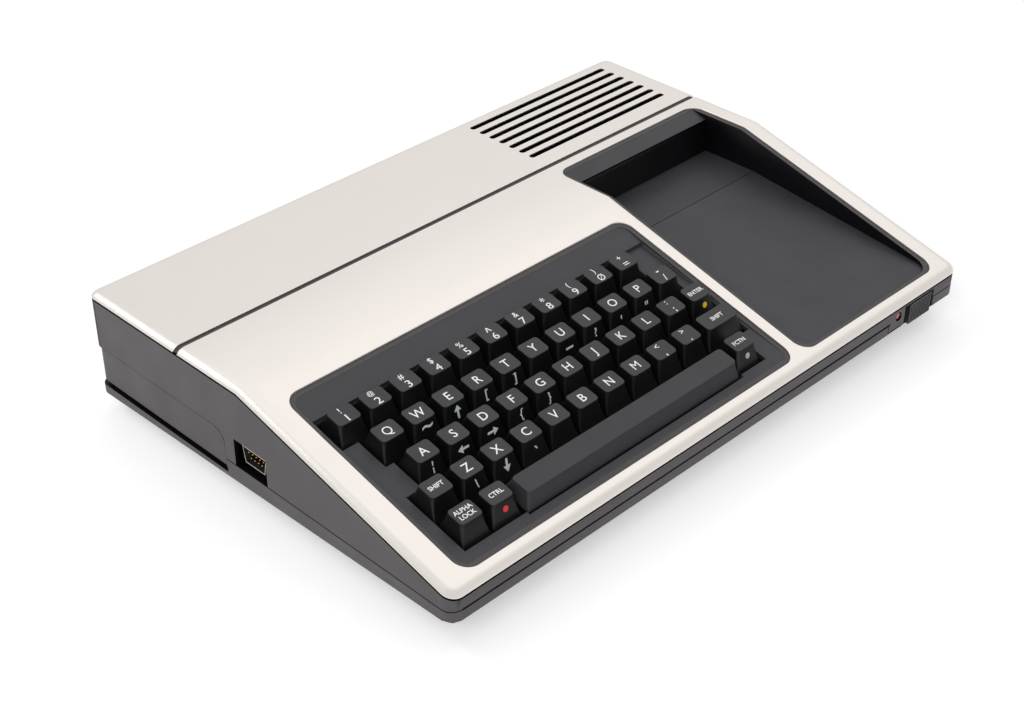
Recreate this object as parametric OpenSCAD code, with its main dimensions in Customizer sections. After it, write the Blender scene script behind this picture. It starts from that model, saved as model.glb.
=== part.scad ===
// Low wedge-shaped home computer: two dark case mouldings, two bent metal covers,
// a 48-key keyboard, a cartridge tray with a sprung door, and the boards inside.
// Origin at the middle of the footprint on the table, +Z up, the keys face -Y.

/* [Case] */
// Overall width, left to right
body_w = 384; // [382:1:388]
// Overall depth, front to rear
body_d = 265; // [263:1:268]
// Overall height above the table
body_h = 71; // [70:0.5:74]
// From the front edge back to the crease between the sloping and the level top
break_d = 144; // [143:0.5:146]
// Angle of the sloping top
slope_angle = 14.5; // [14.2:0.1:14.8]
// Plan radius of the front corners
corner_r = 7; // [5:0.5:9]
// Plan radius of the rear corners
rear_corner_r = 6; // [4:0.5:8]
// Wall of both case mouldings
wall = 2.5; // [2.2:0.1:2.7]
// How far the dark walls stand inside the metal covers
side_gap = 0.3; // [0.2:0.1:0.6]
// Height of the parting line above the table, front part
part_z = 23.5; // [23:0.1:24]
// Gap between the case halves, front part
part_gap = 0.5; // [0.3:0.1:0.8]
// Where the parting line steps down, from the front edge
step_d = 157; // [150:1:160]
// Height of the parting groove above the table, rear part
part_z_rear = 16.9; // [16.4:0.1:17.4]
// Width of the parting groove, rear part
part_gap_rear = 2.5; // [1.5:0.1:3]
// Height of the skirt's lower edge at the front
skirt_front_z = 17.5; // [16.5:0.1:18]
// Height of the skirt's lower edge at the rear
skirt_rear_z = 10.5; // [9.5:0.1:11]
// Slope of the bevels under the skirt
bevel_angle = 45; // [42:1:50]
// Depth of the sunk panel in the left side
sunk_t = 1; // [0.6:0.1:1.2]
// Front edge of the sunk panel, from the front of the case
sunk_d = 158; // [157.5:0.5:162]
// Top of the sunk panel above the table
sunk_top = 39; // [36:0.5:42]
// Radius of the sunk panel's corner
sunk_r = 7; // [4:0.5:9]
// How far the sunk panel goes on along the rear
sunk_end = 12; // [8:0.5:16]
// How far the seam tongue reaches up inside the top case
tongue_h = 1.5; // [1:0.1:2]
// Thickness of the seam tongue
tongue_t = 1.2; // [1:0.1:1.5]
// Clearance between the tongue and the top case
tongue_gap = 0.15; // [0.1:0.05:0.3]

/* [Feet and screws] */
// Height of the rubber feet
foot_h = 3; // [2.5:0.1:3.5]
// Radius of the rubber feet
foot_r = 7; // [5:0.5:8]
// Middle of a foot, from the side of the case
foot_side = 42; // [38:1:50]
// Half the spacing of the feet, front to rear
foot_y = 102; // [96:1:105]
// Radius of a case screw's shank
screw_r = 1.5; // [1.2:0.1:1.6]
// Radius of a case screw's head
screw_head_r = 2.9; // [2.6:0.1:3]
// Height of a case screw's head
screw_head_h = 2.2; // [1.8:0.1:2.4]
// Length of a case screw's shank
screw_len = 20; // [18:1:22]
// Height of the screw seats above the table
screw_seat_z = 9; // [8:0.1:10]
// Radius of the screw bosses
boss_r = 4; // [3.9:0.1:4.2]
// Radial clearance around a screw
screw_gap = 0.1; // [0.05:0.05:0.2]

/* [Metal covers] */
// Sheet thickness
trim_t = 1; // [0.8:0.1:1.2]
// Gap between the covers and the top case
trim_gap = 0.1; // [0.05:0.05:0.2]
// Width of the bent edges
bend_w = 5.2; // [4.5:0.1:6]
// Drop of the bent edges
bend_h = 2.7; // [2.4:0.1:3]
// Gap under the covers' bent edges
edge_gap = 0.3; // [0.2:0.1:0.5]
// Front edge of the groove between the covers, from the front of the case
split_d = 189.6; // [188:0.1:191]
// Width of the groove between the covers
split_gap = 3.2; // [2:0.1:3.6]
// Number of vent slots
vent_count = 7; // [5:1:7]
// Spacing of the vent slots
vent_pitch = 8; // [7.5:0.1:8.2]
// Width of a vent slot
vent_w = 3.8; // [3:0.1:4.4]
// Length of a vent slot
vent_len = 113; // [100:1:115]
// Right-hand end of the vent slots, from the side of the case
vent_side = 14; // [12:1:18]
// Middle of the front vent slot, from the front of the case
vent_d = 206; // [205:0.1:207]

/* [Keyboard] */
// Spacing of the keys along a row
key_pitch = 19.05; // [19:0.05:19.1]
// Spacing of the rows
row_pitch = 19.2; // [19:0.05:19.3]
// Tilt of the key plane
key_tilt = 12.75; // [12.5:0.05:13]
// Middle of the first key, from the left edge of the keyboard opening
key_inset = 14.4; // [14:0.1:15]
// Middle of the first row, from the front of the case
key_back = 99.2; // [98.6:0.1:99.6]
// Height of the key tops at the first row, below the level top
key_below_top = 7.4; // [7:0.1:8]
// Width of a key at its base
key_base = 17.8; // [17.4:0.1:18]
// Width of a key top
key_top_w = 12.6; // [11:0.1:13.5]
// Length of a key top
key_top_l = 10.6; // [10:0.1:11]
// How far a key top stands behind its base
key_lean = 2.3; // [1.5:0.1:2.6]
// Length of the space bar's base, front to rear
space_base_l = 20.4; // [19.6:0.1:20.6]
// Length of the space bar's top, front to rear
space_top_l = 11.7; // [11:0.1:12.4]
// How far the space bar's middle stands in front of its row
space_shift = 1.3; // [0.8:0.1:1.5]
// How far the space bar's top stands behind its base
space_lean = 0.3; // [0.1:0.1:0.8]
// Height of a key cap
key_h = 11; // [10.5:0.1:11.2]
// Wall of a key cap
key_wall = 1.3; // [1.1:0.1:1.5]
// Travel of a key
key_travel = 3.5; // [3:0.1:3.6]
// Width of a key stem
stem_w = 4; // [3.6:0.1:4.4]
// Clearance around a key stem, each side
stem_gap = 0.3; // [0.2:0.05:0.4]
// Wall of a key guide
guide_wall = 1.7; // [1.5:0.1:1.9]
// Depth of the deck surface under the key tops
deck_drop = 8; // [7.5:0.1:8.5]
// Clearance between the keys and the edge of the key well
well_gap = 0.5; // [0.4:0.1:0.7]
// Drop of the strip behind the keys below its rim
strip_drop = 1.1; // [0.8:0.1:1.4]
// Front edge of that strip, from the front of the case
strip_d = 111.2; // [110.8:0.1:112.5]

/* [Openings in the top] */
// Left edge of the keyboard opening, from the side of the case
kb_side = 14.7; // [14.2:0.1:15.2]
// Width of the keyboard opening
kb_w = 233.3; // [232.8:0.1:233.8]
// Width of the metal between the two openings
bridge_w = 7.1; // [6.9:0.1:7.4]
// Front edge of both openings, from the front of the case
open_front = 6.9; // [6.6:0.1:7.2]
// Rear edge of the keyboard opening, from the front of the case
kb_rear = 128.3; // [127.5:0.1:129]
// Corner radius of the openings
open_r = 8.5; // [8:0.5:9]
// Dark rim that shows inside the metal openings
rim_w = 2.5; // [2.3:0.1:2.6]

/* [Cartridge tray] */
// Right edge of the tray opening, from the side of the case
tray_side = 13; // [12.5:0.1:13.5]
// Rear edge of the tray opening, from the front of the case
tray_rear = 183.5; // [183:0.1:184]
// Height of the level rear floor above the table
floor_z = 47; // [46.6:0.1:47.6]
// Front edge of the level floor, from the front of the case
floor_crease = 133; // [130:0.5:136]
// Slope of the front floor
floor_angle = 6.1; // [5.8:0.1:6.4]
// Front of the slot, from the front of the case
slot_d = 171; // [170.5:0.1:171.5]
// Depth of the bay behind the slot
bay_depth = 40; // [37:1:41]
// Thickness of the lip above the slot
lip_t = 1; // [0.8:0.1:1.2]
// Radius of the door's hinge barrel
door_r = 1.9; // [1.7:0.1:2]
// Radius of the door's hinge pins
door_pin_r = 1.4; // [1.2:0.1:1.5]
// Radial clearance around the hinge pins
pin_gap = 0.08; // [0.05:0.01:0.1]
// Thickness of the slot door
door_t = 1.6; // [1.4:0.1:1.8]
// Lean of the slot door
door_lean = 10; // [8:1:11]
// Running gap around the slot door
door_gap = 0.5; // [0.4:0.1:0.7]

/* [Side port] */
// Front edge of the port, from the front of the case
port_d = 162; // [160:1:166]
// Length of the port
port_len = 58; // [52:1:60]
// Height of the port
port_h = 14.6; // [13.5:0.1:15]
// Lower edge of the port above the table
port_z = 19.9; // [19.6:0.1:20.2]
// Thickness of the port door
port_door_t = 1.7; // [1.5:0.1:1.8]
// Radius of the port door's hinge pins
port_pin_r = 0.8; // [0.7:0.05:0.9]

/* [Power switch] */
// Left edge of the switch panel, from the right side of the case
panel_side = 63; // [62:0.5:65]
// Lower edge of the switch panel above the table
panel_z = 18.6; // [18.2:0.1:19]
// Right edge of the switch slot, from the right side of the case
switch_side = 22.3; // [22:0.1:23]
// Width of the switch slot
switch_w = 26.7; // [26.4:0.1:27]
// Upper edge of the switch slot above the table
switch_top = 28.9; // [28.5:0.1:29]
// Width of the knob
knob_w = 19.6; // [19:0.1:20]
// Height of the knob
knob_h = 12.2; // [11.5:0.1:12.3]
// Bottom of the knob above the table
knob_z = 15.6; // [15.4:0.1:16.4]
// Travel of the knob
knob_travel = 4.5; // [4:0.1:4.8]
// Number of ribs on the knob
knob_ribs = 13; // [9:1:14]
// Middle of the power lamp, from the right side of the case
lamp_side = 54.6; // [54.2:0.1:55]
// Middle of the power lamp above the table
lamp_z = 25.3; // [24.8:0.1:25.5]
// Radius of the power lamp
lamp_r = 2.4; // [2.2:0.1:2.5]
// Clearance around the power lamp
lamp_gap = 0.3; // [0.2:0.1:0.4]

/* [Boards and sockets] */
// Thickness of the circuit boards
board_t = 1.6; // [1.4:0.1:1.8]
// Height of the main board's upper face above the table
board_z = 24; // [23.6:0.1:24.3]
// Height of the power board's upper face above the table
power_board_z = 15.6; // [15:0.1:16]
// Middle of the game controller socket, from the front of the case
joy_d = 138; // [137:0.5:139]
// Length of the game controller notch
joy_notch_w = 24; // [22:0.5:25]
// Height of the game controller notch
joy_notch_h = 15.8; // [15:0.1:16.5]
// Middle of the game controller socket above the main board
joy_up = 7.4; // [7:0.1:8]
// Length of a nine-pin socket's shell
dsub_w = 18; // [17:0.1:18.5]
// Height of a nine-pin socket's shell
dsub_h = 9.4; // [8.8:0.1:10]
// Thickness of the screening can's sheet
can_t = 0.6; // [0.5:0.1:0.8]
// Height of the screening can above the main board
can_h = 13; // [11:0.5:14]
// Radius of the vent holes in the screening can
can_hole_r = 2; // [1.5:0.1:2.5]
// Height of the sockets' middles above the main board, at the rear
socket_up = 8.5; // [8:0.1:9]
// Outer radius of the round video socket
din_r = 7.4; // [7:0.1:7.8]
// Width of the power inlet
inlet_w = 20; // [18:0.5:22]
// Height of the power inlet
inlet_h = 14; // [12:0.5:15]
// Length of a chip
chip_l = 20; // [18:0.5:24]
// Width of a chip
chip_w = 9; // [7:0.5:10]
// Height of a chip
chip_h = 4; // [3:0.1:4.5]
// Spacing of the chips along a row
chip_pitch = 28; // [26:0.5:32]
// Height of the heat sink on the power board
sink_h = 12; // [8:0.5:14]
// Width of the cartridge connector's slot
edge_slot = 4; // [3.5:0.1:4.2]

/* [Hidden] */
front_y = -body_d / 2;
rear_y = body_d / 2;
break_y = front_y + break_d;
step_y = front_y + step_d;
split_y = front_y + split_d;
foot_x = body_w / 2 - foot_side;
slope_t = tan(slope_angle);
belly_z = foot_h;

// Bent edge as an arc that starts level and ends steep
bend_a = 2 * atan(bend_h / bend_w);
bend_r = (bend_w * bend_w + bend_h * bend_h) / (2 * bend_h);
bend_steps = 3;
// The covers' edges are cut just above the end of the arc
edge_cut = 0.05;

// How far the slanted corner faces cut into the rounded corners
corner_in = 0.25;

// Skins, counted inwards from the outer face of the metal
case_in = trim_t + trim_gap;
cavity_in = case_in + wall;

// Openings in the top, left to right
kb_left = kb_side - body_w / 2;
kb_right = kb_left + kb_w;
tray_left = kb_right + bridge_w;
tray_right = body_w / 2 - tray_side;
vent_right = body_w / 2 - vent_side;

// Case walls in plan
wall_x = body_w / 2 - side_gap;
inner_x = wall_x - wall;

// Keyboard frame: origin at the base of the first key, on the key top plane
key_x = kb_left + key_inset;
key_y = front_y + key_back;
key_z = body_h - key_below_top;
key_foot = -key_h;
plate_top = key_foot - key_travel - 1;
plate_t = 2;
guide_top = key_foot - 0.4;
guide_w = stem_w + 2 * stem_gap + 2 * guide_wall;
stem_end = plate_top - plate_t + 0.5;
kb_board_top = stem_end - key_travel - 1;
deck_under = -deck_drop - wall;
ROWS_LEFT = [0, 0.5, 0.75, 0.25, 0.25];
ROWS_RIGHT = [10, 10.5, 10.75, 10.75, 10.25];
last_row = len(ROWS_LEFT) - 1;

// Tray and slot
tray_x0 = tray_left + rim_w;
tray_x1 = tray_right - rim_w;
tray_y0 = front_y + open_front + rim_w;
crease_y = front_y + floor_crease;
slot_y = front_y + slot_d;
bay_y = slot_y + bay_depth;
roof_z = body_h - cavity_in;
lip_z = body_h - 5.1 + lip_t - 1;
barrel_z = lip_z - door_r - 0.4;
barrel_y = slot_y + door_r + 0.2;
door_len = (barrel_z - floor_z - door_gap) / cos(door_lean);

// Side port
port_y0 = front_y + port_d;
port_y1 = port_y0 + port_len;
port_top = port_z + port_h;
port_axis_z = port_top - 1.6;
port_axis_x = wall_x - wall / 2;
port_door_gap = 0.4;

// Screws, through the belly into the top case
screw_left = kb_left + 3.1;
screw_mid = (kb_right + tray_left) / 2;
screw_right = tray_right - 6;
screw_front_y = front_y + 24.5;
screw_mid_y = break_y - 19.5;
screw_rear_y = rear_y - 18.5;
SCREWS = [
    [screw_left, screw_front_y, under_deck_z(screw_front_y)],
    [screw_mid, screw_front_y, top_z(screw_front_y, cavity_in)],
    [screw_right, screw_front_y, tray_floor_z(screw_front_y) - wall],
    [screw_mid, screw_mid_y, top_z(screw_mid_y, cavity_in)],
    [screw_left, screw_rear_y, roof_z],
    [screw_mid, screw_rear_y, roof_z],
    [screw_right, screw_rear_y, roof_z]
];

// Power switch and lamp
panel_left = body_w / 2 - panel_side;
switch_right = body_w / 2 - switch_side;
switch_left = switch_right - switch_w;
lamp_x = body_w / 2 - lamp_side;
knob_x1 = switch_right - 2.1;
knob_x0 = knob_x1 - knob_w;
flange_z = skirt_front_z + 0.3;
panel_gap = 0.4;
panel_bevel = 1.7;
flange_left = 7;
flange_right = 7;
front_wall_in = side_gap + wall;

// Boards
power_side = 13;
can_side = 12;
socket_side = 40;
socket_step = 38;
board_front = 6;
board_rear = rear_y - 23.5;
board_x0 = screw_left + 6.5;
board_x1 = screw_right - 3.5;
joy_y = front_y + joy_d;
joy_z = board_z + joy_up;
power_x0 = panel_left - power_side;
power_x1 = screw_right - boss_r - 1.6;
power_y0 = front_y + 12;
power_y1 = front_y + 62;
post_r = 2.5;
can_x0 = board_x0 + 30;
can_x1 = tray_left - can_side;
can_y0 = board_front + 14;
can_y1 = board_rear - 9;
chip_front = can_y0 + 10;
row_gap = 22;
socket_gap = 0.5;
can_hole_in = 18;
can_hole_step_x = 24;
can_hole_step_y = 20;
plate_front = 7.4;
plate_rear = 6.9;
shell_t = 0.5;
shell_depth = 6.5;
socket_back = 18;
socket_face_y = rear_y - 9.5;
socket_z = board_z + socket_up;
video_x = socket_side - body_w / 2;
cassette_x = video_x + socket_step;
inlet_x = body_w / 2 - socket_side;
leg = 0.6;
edge_socket_h = 11;
connector_back = 8.5;
switch_l = 8;
BOARD_POSTS = [for (x = [board_x0 + 20, 0, board_x1 - 12])
    for (y = [board_front + 5, board_rear - 5]) [x, y]];
POWER_POSTS = [for (x = [power_x0 + 5, power_x1 - 5])
    for (y = [power_y0 + 5, power_y1 - 5]) [x, y]];

$fn = 48;

KEYS = concat(
    row_keys(0, 0, ["1", "2", "3", "4", "5", "6", "7", "8", "9", "0", "equals"]),
    row_keys(1, 0.5, ["q", "w", "e", "r", "t", "y", "u", "i", "o", "p", "slash"]),
    row_keys(2, 0.75, ["a", "s", "d", "f", "g", "h", "j", "k", "l", "semicolon", "enter"]),
    row_keys(3, 0.25, ["left_shift", "z", "x", "c", "v", "b", "n", "m", "comma", "period"]),
    [["right_shift", 3, 10.5, 1.5]],
    row_keys(4, 0.25, ["alpha_lock", "ctrl"]),
    [["space", 4, 5.75, 8], ["fctn", 4, 10.25, 1]]
);

function row_keys(row, start, names) =
    [for (i = [0:len(names) - 1]) [names[i], row, start + i, 1]];
function key_node(k) = str("key_", k[0]);

// Height of the outer top surface, or of the skin n inside it
function top_z(y, n = 0) =
    min(body_h - n, body_h - (break_y - y) * slope_t - n / cos(slope_angle));
function deck_z(y) = key_z + (y - key_y) * tan(key_tilt) - deck_drop / cos(key_tilt);
function under_deck_z(y) = deck_z(y) - wall / cos(key_tilt);
function tray_floor_z(y) = floor_z - max(0, crease_y - y) * tan(floor_angle);

// Rectangle with rounded corners, counter-clockwise, front radius r and rear radius q
function corner_points(x, y, r, from, steps = 6) =
    [for (i = [0:steps]) [x + r * cos(from + i * 90 / steps), y + r * sin(from + i * 90 / steps)]];
function rounded(x0, x1, y0, y1, r, q, steps = 6) = concat(
    corner_points(x1 - r, y0 + r, r, -90, steps),
    corner_points(x1 - q, y1 - q, q, 0, steps),
    corner_points(x0 + q, y1 - q, q, 90, steps),
    corner_points(x0 + r, y0 + r, r, 180, steps)
);
function at_height(points, z) = [for (p = points) [p[0], p[1], z]];

// Inset and drop of the bent edge at a step, for the skin n inside the metal
function bend_inset(n, k) = bend_w - (bend_r - n) * sin(bend_a * k / bend_steps);
function bend_drop(n, k) = bend_r - (bend_r - n) * cos(bend_a * k / bend_steps);

// Side view outline under the skin n, used as an extrusion across the width
function under_profile(n) = [
    [front_y - 20, -20],
    [rear_y + 20, -20],
    [rear_y + 20, body_h - n],
    [break_y + n * tan(slope_angle / 2), body_h - n],
    [front_y - 20, top_z(front_y - 20, n)]
];

// Solid through rings of equal length, from the lowest to the highest
module ring_stack(rings) {
    n = len(rings[0]);
    last = len(rings) - 1;
    polyhedron(
        points = [for (r = rings) each r],
        faces = concat(
            [[for (i = [0:n - 1]) i]],
            [[for (i = [n - 1:-1:0]) last * n + i]],
            [for (k = [0:last - 1]) for (i = [0:n - 1])
                let (j = (i + 1) % n) [k * n + i, (k + 1) * n + i, (k + 1) * n + j, k * n + j]]
        )
    );
}

// Outline in Y and Z, extruded from x0 to x1
module across(x0, x1, outline) {
    translate([x0, 0, 0]) rotate([90, 0, 90]) linear_extrude(x1 - x0) polygon(outline);
}

module block(x0, x1, y0, y1, z0, z1) {
    translate([x0, y0, z0]) cube([x1 - x0, y1 - y0, z1 - z0]);
}

module post(x, y, z0, z1, r) {
    translate([x, y, z0]) cylinder(h = z1 - z0, r = r);
}

// One panel of the top with its bent edges, for the skin n inside the metal
module bent_panel(n, y0, y1) {
    function ring(inset, drop) = at_height(
        rounded(-body_w / 2 + inset, body_w / 2 - inset, y0 + inset, y1 - inset,
            max(corner_r - inset, 0.8), max(rear_corner_r - inset, 0.8)), -drop);
    ring_stack(concat(
        [ring(bend_inset(n, bend_steps), 75)],
        [for (k = [bend_steps:-1:0]) ring(bend_inset(n, k), bend_drop(n, k))]
    ));
}

// The whole top form: the level panel and the sloping panel meet at the crease
module top_form(n) {
    intersection() {
        translate([0, 0, body_h]) bent_panel(n, front_y - 60, rear_y);
        translate([0, break_y, body_h]) rotate([slope_angle, 0, 0])
            bent_panel(n, -(break_d + bend_h * sin(slope_angle)) / cos(slope_angle),
                (rear_y - break_y + 60) / cos(slope_angle));
    }
}

module plan_prism(n, z0, z1) {
    translate([0, 0, z0]) linear_extrude(z1 - z0)
        polygon(rounded(-body_w / 2 + n, body_w / 2 - n, front_y + n, rear_y - n,
            max(corner_r - n, 0.8), max(rear_corner_r - n, 0.8)));
}

module opening_prism(x0, x1, y0, y1, n, z0 = 10, z1 = 90) {
    translate([0, 0, z0]) linear_extrude(z1 - z0)
        polygon(rounded(x0 + n, x1 - n, y0 + n, y1 - n, open_r - n, open_r - n));
}

module keyboard_opening(n) {
    opening_prism(kb_left, kb_right, front_y + open_front, front_y + kb_rear, n);
}

module tray_opening(n) {
    opening_prism(tray_left, tray_right, front_y + open_front, front_y + tray_rear, n);
}

module covers() {
    difference() {
        top_form(0);
        top_form(trim_t);
        across(-body_w, body_w, under_profile(bend_h - edge_cut));
    }
}

module front_cover() {
    color("silver") difference() {
        covers();
        block(-body_w, body_w, split_y, rear_y + 20, 0, body_h + 20);
        keyboard_opening(0);
        tray_opening(0);
    }
}

module vent_slots(w, len, z0, z1) {
    for (i = [0:vent_count - 1])
        translate([vent_right - vent_len / 2, front_y + vent_d + i * vent_pitch, z0])
            linear_extrude(z1 - z0)
                polygon(rounded(-len / 2, len / 2, -w / 2, w / 2, w / 2 - 0.05, w / 2 - 0.05, 4));
}

module rear_cover() {
    color("silver") difference() {
        covers();
        block(-body_w, body_w, front_y - 20, split_y + split_gap, 0, body_h + 20);
        vent_slots(vent_w, vent_len, body_h - 20, body_h + 10);
    }
}

// Bevel planes under the skirt, moved inwards by n
module bevel_cuts(n) {
    side_tilt = atan((skirt_rear_z - skirt_front_z) / body_d);
    for (side = [0, 1])
        mirror([side, 0, 0])
            translate([-wall_x, front_y, skirt_front_z]) rotate([side_tilt, 0, 0])
                rotate([0, bevel_angle, 0]) block(-80, 80, -20, body_d + 20, -60, n);
    translate([0, front_y + side_gap, skirt_front_z]) rotate([-bevel_angle, 0, 0])
        block(-body_w, body_w, -80, 80, -60, n);
    translate([0, rear_y - side_gap, skirt_rear_z]) rotate([bevel_angle, 0, 0])
        block(-body_w, body_w, -80, 80, -60, n);
}

// Slanted faces that round the bevels off at the four corners
module corner_cuts() {
    front_r = corner_r - side_gap;
    rear_r = rear_corner_r - side_gap;
    // centre of the corner, its radius, front or rear, height of the bevel's upper edge
    for (c = [[front_y + side_gap + front_r, front_r, 1, skirt_front_z],
              [rear_y - side_gap - rear_r, rear_r, -1, skirt_rear_z]])
        for (side = [0, 1], a = [22.5, 45, 67.5])
            mirror([side, 0, 0]) translate([c[1] - wall_x, c[0], c[3]])
                rotate([0, 0, c[2] * a - 90]) translate([0, corner_in - c[1], 0])
                    rotate([-bevel_angle, 0, 0]) block(-40, 40, -40, 40, -40, 0);
}

module lower_form(n) {
    difference() {
        plan_prism(side_gap + n, belly_z + n, part_z + 10);
        bevel_cuts(n);
    }
}

// Everything above the parting surface, raised by half of each gap times s
module above_parting(s) {
    across(-body_w, body_w, [
        [front_y - 20, part_z + s * part_gap / 2],
        [step_y, part_z + s * part_gap / 2],
        [step_y, part_z_rear + s * part_gap_rear / 2],
        [rear_y + 20, part_z_rear + s * part_gap_rear / 2],
        [rear_y + 20, body_h + 20],
        [front_y - 20, body_h + 20]
    ]);
}

// The part of the front that belongs to the top case and carries lamp and switch
module switch_panel() {
    across(panel_left, switch_right, [
        [front_y - 5, panel_z],
        [front_y + side_gap, panel_z],
        [front_y + side_gap + panel_bevel, panel_z - panel_bevel],
        [front_y + front_wall_in + 1, panel_z - panel_bevel],
        [front_y + front_wall_in + 1, part_z + 2],
        [front_y - 5, part_z + 2]
    ]);
}

// Room for that panel and for the knob behind it, cut out of the bottom case
module switch_panel_room() {
    block(panel_left - panel_gap, switch_right + panel_gap, front_y - 5,
        front_y + front_wall_in + panel_gap, panel_z - panel_bevel - panel_gap, part_z + 5);
    block(knob_x0 - knob_travel - flange_left - 0.5, knob_x1 + flange_right + 0.5,
        front_y + wall / 2, front_y + front_wall_in + 2.6, panel_z - panel_bevel - panel_gap, part_z + 5);
    block(switch_left, switch_right, front_y - 5, front_y + front_wall_in + 2.6, knob_z - panel_gap,
        part_z + 5);
}

module bottom_case() {
    color("#26272a") difference() {
        union() {
            difference() {
                lower_form(0);
                corner_cuts();
                lower_form(wall);
                above_parting(-1);
            }
            // tongue along the seam, on a ledge inside the wall
            difference() {
                union() {
                    lower_form(wall + tongue_gap);
                    difference() {
                        lower_form(wall - 0.5);
                        above_parting(-1);
                    }
                }
                lower_form(wall + tongue_gap + tongue_t);
                translate([0, 0, tongue_h]) above_parting(1);
                block(-body_w, body_w, front_y, rear_y, 0, skirt_rear_z + 1);
                joy_notch(1);
                block(inner_x - 20, body_w, port_y0 - 3, port_y1 + 3, port_z - 4, 60);
            }
            for (s = SCREWS)
                post(s[0], s[1], belly_z + 0.5, bottom_boss_z(s[1]), boss_r);
            for (p = BOARD_POSTS)
                post(p[0], p[1], belly_z + 0.5, board_z - board_t, post_r);
            for (p = POWER_POSTS)
                post(p[0], p[1], belly_z + 0.5, power_board_z - board_t, post_r);
        }
        switch_panel_room();
        for (s = SCREWS) {
            post(s[0], s[1], belly_z - 5, screw_seat_z, screw_head_r + screw_gap);
            post(s[0], s[1], screw_seat_z - 1, part_z + 5, screw_r + screw_gap);
        }
    }
}

function bottom_boss_z(y) = y > step_y ? part_z_rear - 1.5 : part_z - 0.5;

module feet() {
    color("#1c1c1c") for (x = [-foot_x, foot_x]) for (y = [-foot_y, foot_y])
        translate([x, y, 0]) {
            cylinder(h = foot_h - 0.8, r1 = foot_r - 0.6, r2 = foot_r);
            translate([0, 0, foot_h - 0.8]) cylinder(h = 0.8, r = foot_r);
        }
}

module case_screws() {
    color("#8a8a8e") for (s = SCREWS) translate([s[0], s[1], screw_seat_z]) {
        difference() {
            translate([0, 0, -screw_head_h]) cylinder(h = screw_head_h, r = screw_head_r);
            for (a = [0, 90]) rotate([0, 0, a])
                block(-screw_head_r * 0.6, screw_head_r * 0.6, -0.35, 0.35, -screw_head_h - 1,
                    -screw_head_h + 1);
        }
        cylinder(h = min(screw_len, s[2] - screw_seat_z - 1), r = screw_r);
    }
}

// Place things in the keyboard's own frame
module on_keyboard() {
    translate([key_x, key_y, key_z]) rotate([key_tilt, 0, 0]) children();
}

// Key well outline: one band per row, stepped where the rows shift
function band_left(i) = (ROWS_LEFT[i] - 0.5) * key_pitch - well_gap;
function band_right(i) = (ROWS_RIGHT[i] + 0.5) * key_pitch + well_gap;
function band_top(i) = (0.5 - i) * row_pitch + (i == 0 ? well_gap : 0);
function band_end(i) = (-0.5 - i) * row_pitch - (i == last_row ? well_gap : 0);
function well_outline() = concat(
    [for (i = [0:last_row]) each [
        if (i == 0 || band_left(i) != band_left(i - 1)) [band_left(i), band_top(i)],
        if (i == last_row || band_left(i) != band_left(i + 1)) [band_left(i), band_end(i)]]],
    [for (i = [last_row:-1:0]) each [
        if (i == last_row || band_right(i) != band_right(i + 1)) [band_right(i), band_end(i)],
        if (i == 0 || band_right(i) != band_right(i - 1)) [band_right(i), band_top(i)]]]
);

function bar_half(k) = (key_base + (k[3] - 1) * key_pitch) / 2 + well_gap;
module well_plan() {
    polygon(well_outline());
    // the space bar reaches further forward than its row
    for (k = KEYS) if (k[3] > 2)
        translate([k[2] * key_pitch - bar_half(k), -k[1] * row_pitch - space_shift
            - space_base_l / 2 - well_gap]) square([2 * bar_half(k), row_pitch / 2]);
}

// Space above the keyboard deck and the strip behind it, lowered by g
function deck_profile(g) =
    let (strip_y = front_y + strip_d, end_y = front_y + kb_rear + 10)
    g > 0 ? [
        [front_y - 5, deck_z(front_y - 5) - g],
        [end_y, deck_z(end_y) - g],
        [end_y, 100],
        [front_y - 5, 100]
    ] : [
        [front_y - 5, deck_z(front_y - 5)],
        [strip_y, deck_z(strip_y)],
        [strip_y, top_z(strip_y, case_in) - strip_drop],
        [front_y + kb_rear - rim_w, top_z(front_y + kb_rear - rim_w, case_in) - 0.15],
        [end_y, top_z(end_y, case_in) + 5],
        [end_y, 100],
        [front_y - 5, 100]
    ];

module keyboard_recess(g) {
    intersection() {
        keyboard_opening(rim_w - (g > 0 ? wall : 0));
        across(kb_left - 10, kb_right + 10, deck_profile(g));
    }
}

// Side view of the tray and of the bay behind its slot
function tray_profile() = [
    [tray_y0 - 5, tray_floor_z(tray_y0 - 5)],
    [crease_y, floor_z],
    [bay_y, floor_z],
    [bay_y, roof_z],
    [slot_y + 2 * door_r + 2.6, roof_z],
    [slot_y + 2 * door_r + 1.2, lip_z],
    [slot_y, lip_z],
    [slot_y, lip_z + lip_t],
    [front_y + tray_rear - rim_w, body_h - case_in - 0.15],
    [front_y + tray_rear - rim_w, 100],
    [tray_y0 - 5, 100]
];
function tray_shell_profile() = [
    [tray_y0 - 5, tray_floor_z(tray_y0 - 5) - wall],
    [crease_y, floor_z - wall],
    [bay_y, floor_z - wall],
    [bay_y, 100],
    [tray_y0 - 5, 100]
];

module tray_space() {
    intersection() {
        opening_prism(tray_x0, tray_x1, tray_y0, bay_y + 30, 0);
        across(tray_x0 - 1, tray_x1 + 1, tray_profile());
    }
}

module tray_shell() {
    intersection() {
        opening_prism(tray_x0 - wall, tray_x1 + wall, tray_y0 - wall, bay_y + 30, 0);
        across(tray_x0 - 10, tray_x1 + 10, tray_shell_profile());
    }
}

module joy_notch(grow) {
    block(-body_w, -inner_x + 10, joy_y - joy_notch_w / 2 - grow, joy_y + joy_notch_w / 2 + grow,
        part_z - 8, part_z + joy_notch_h + grow);
}

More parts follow.
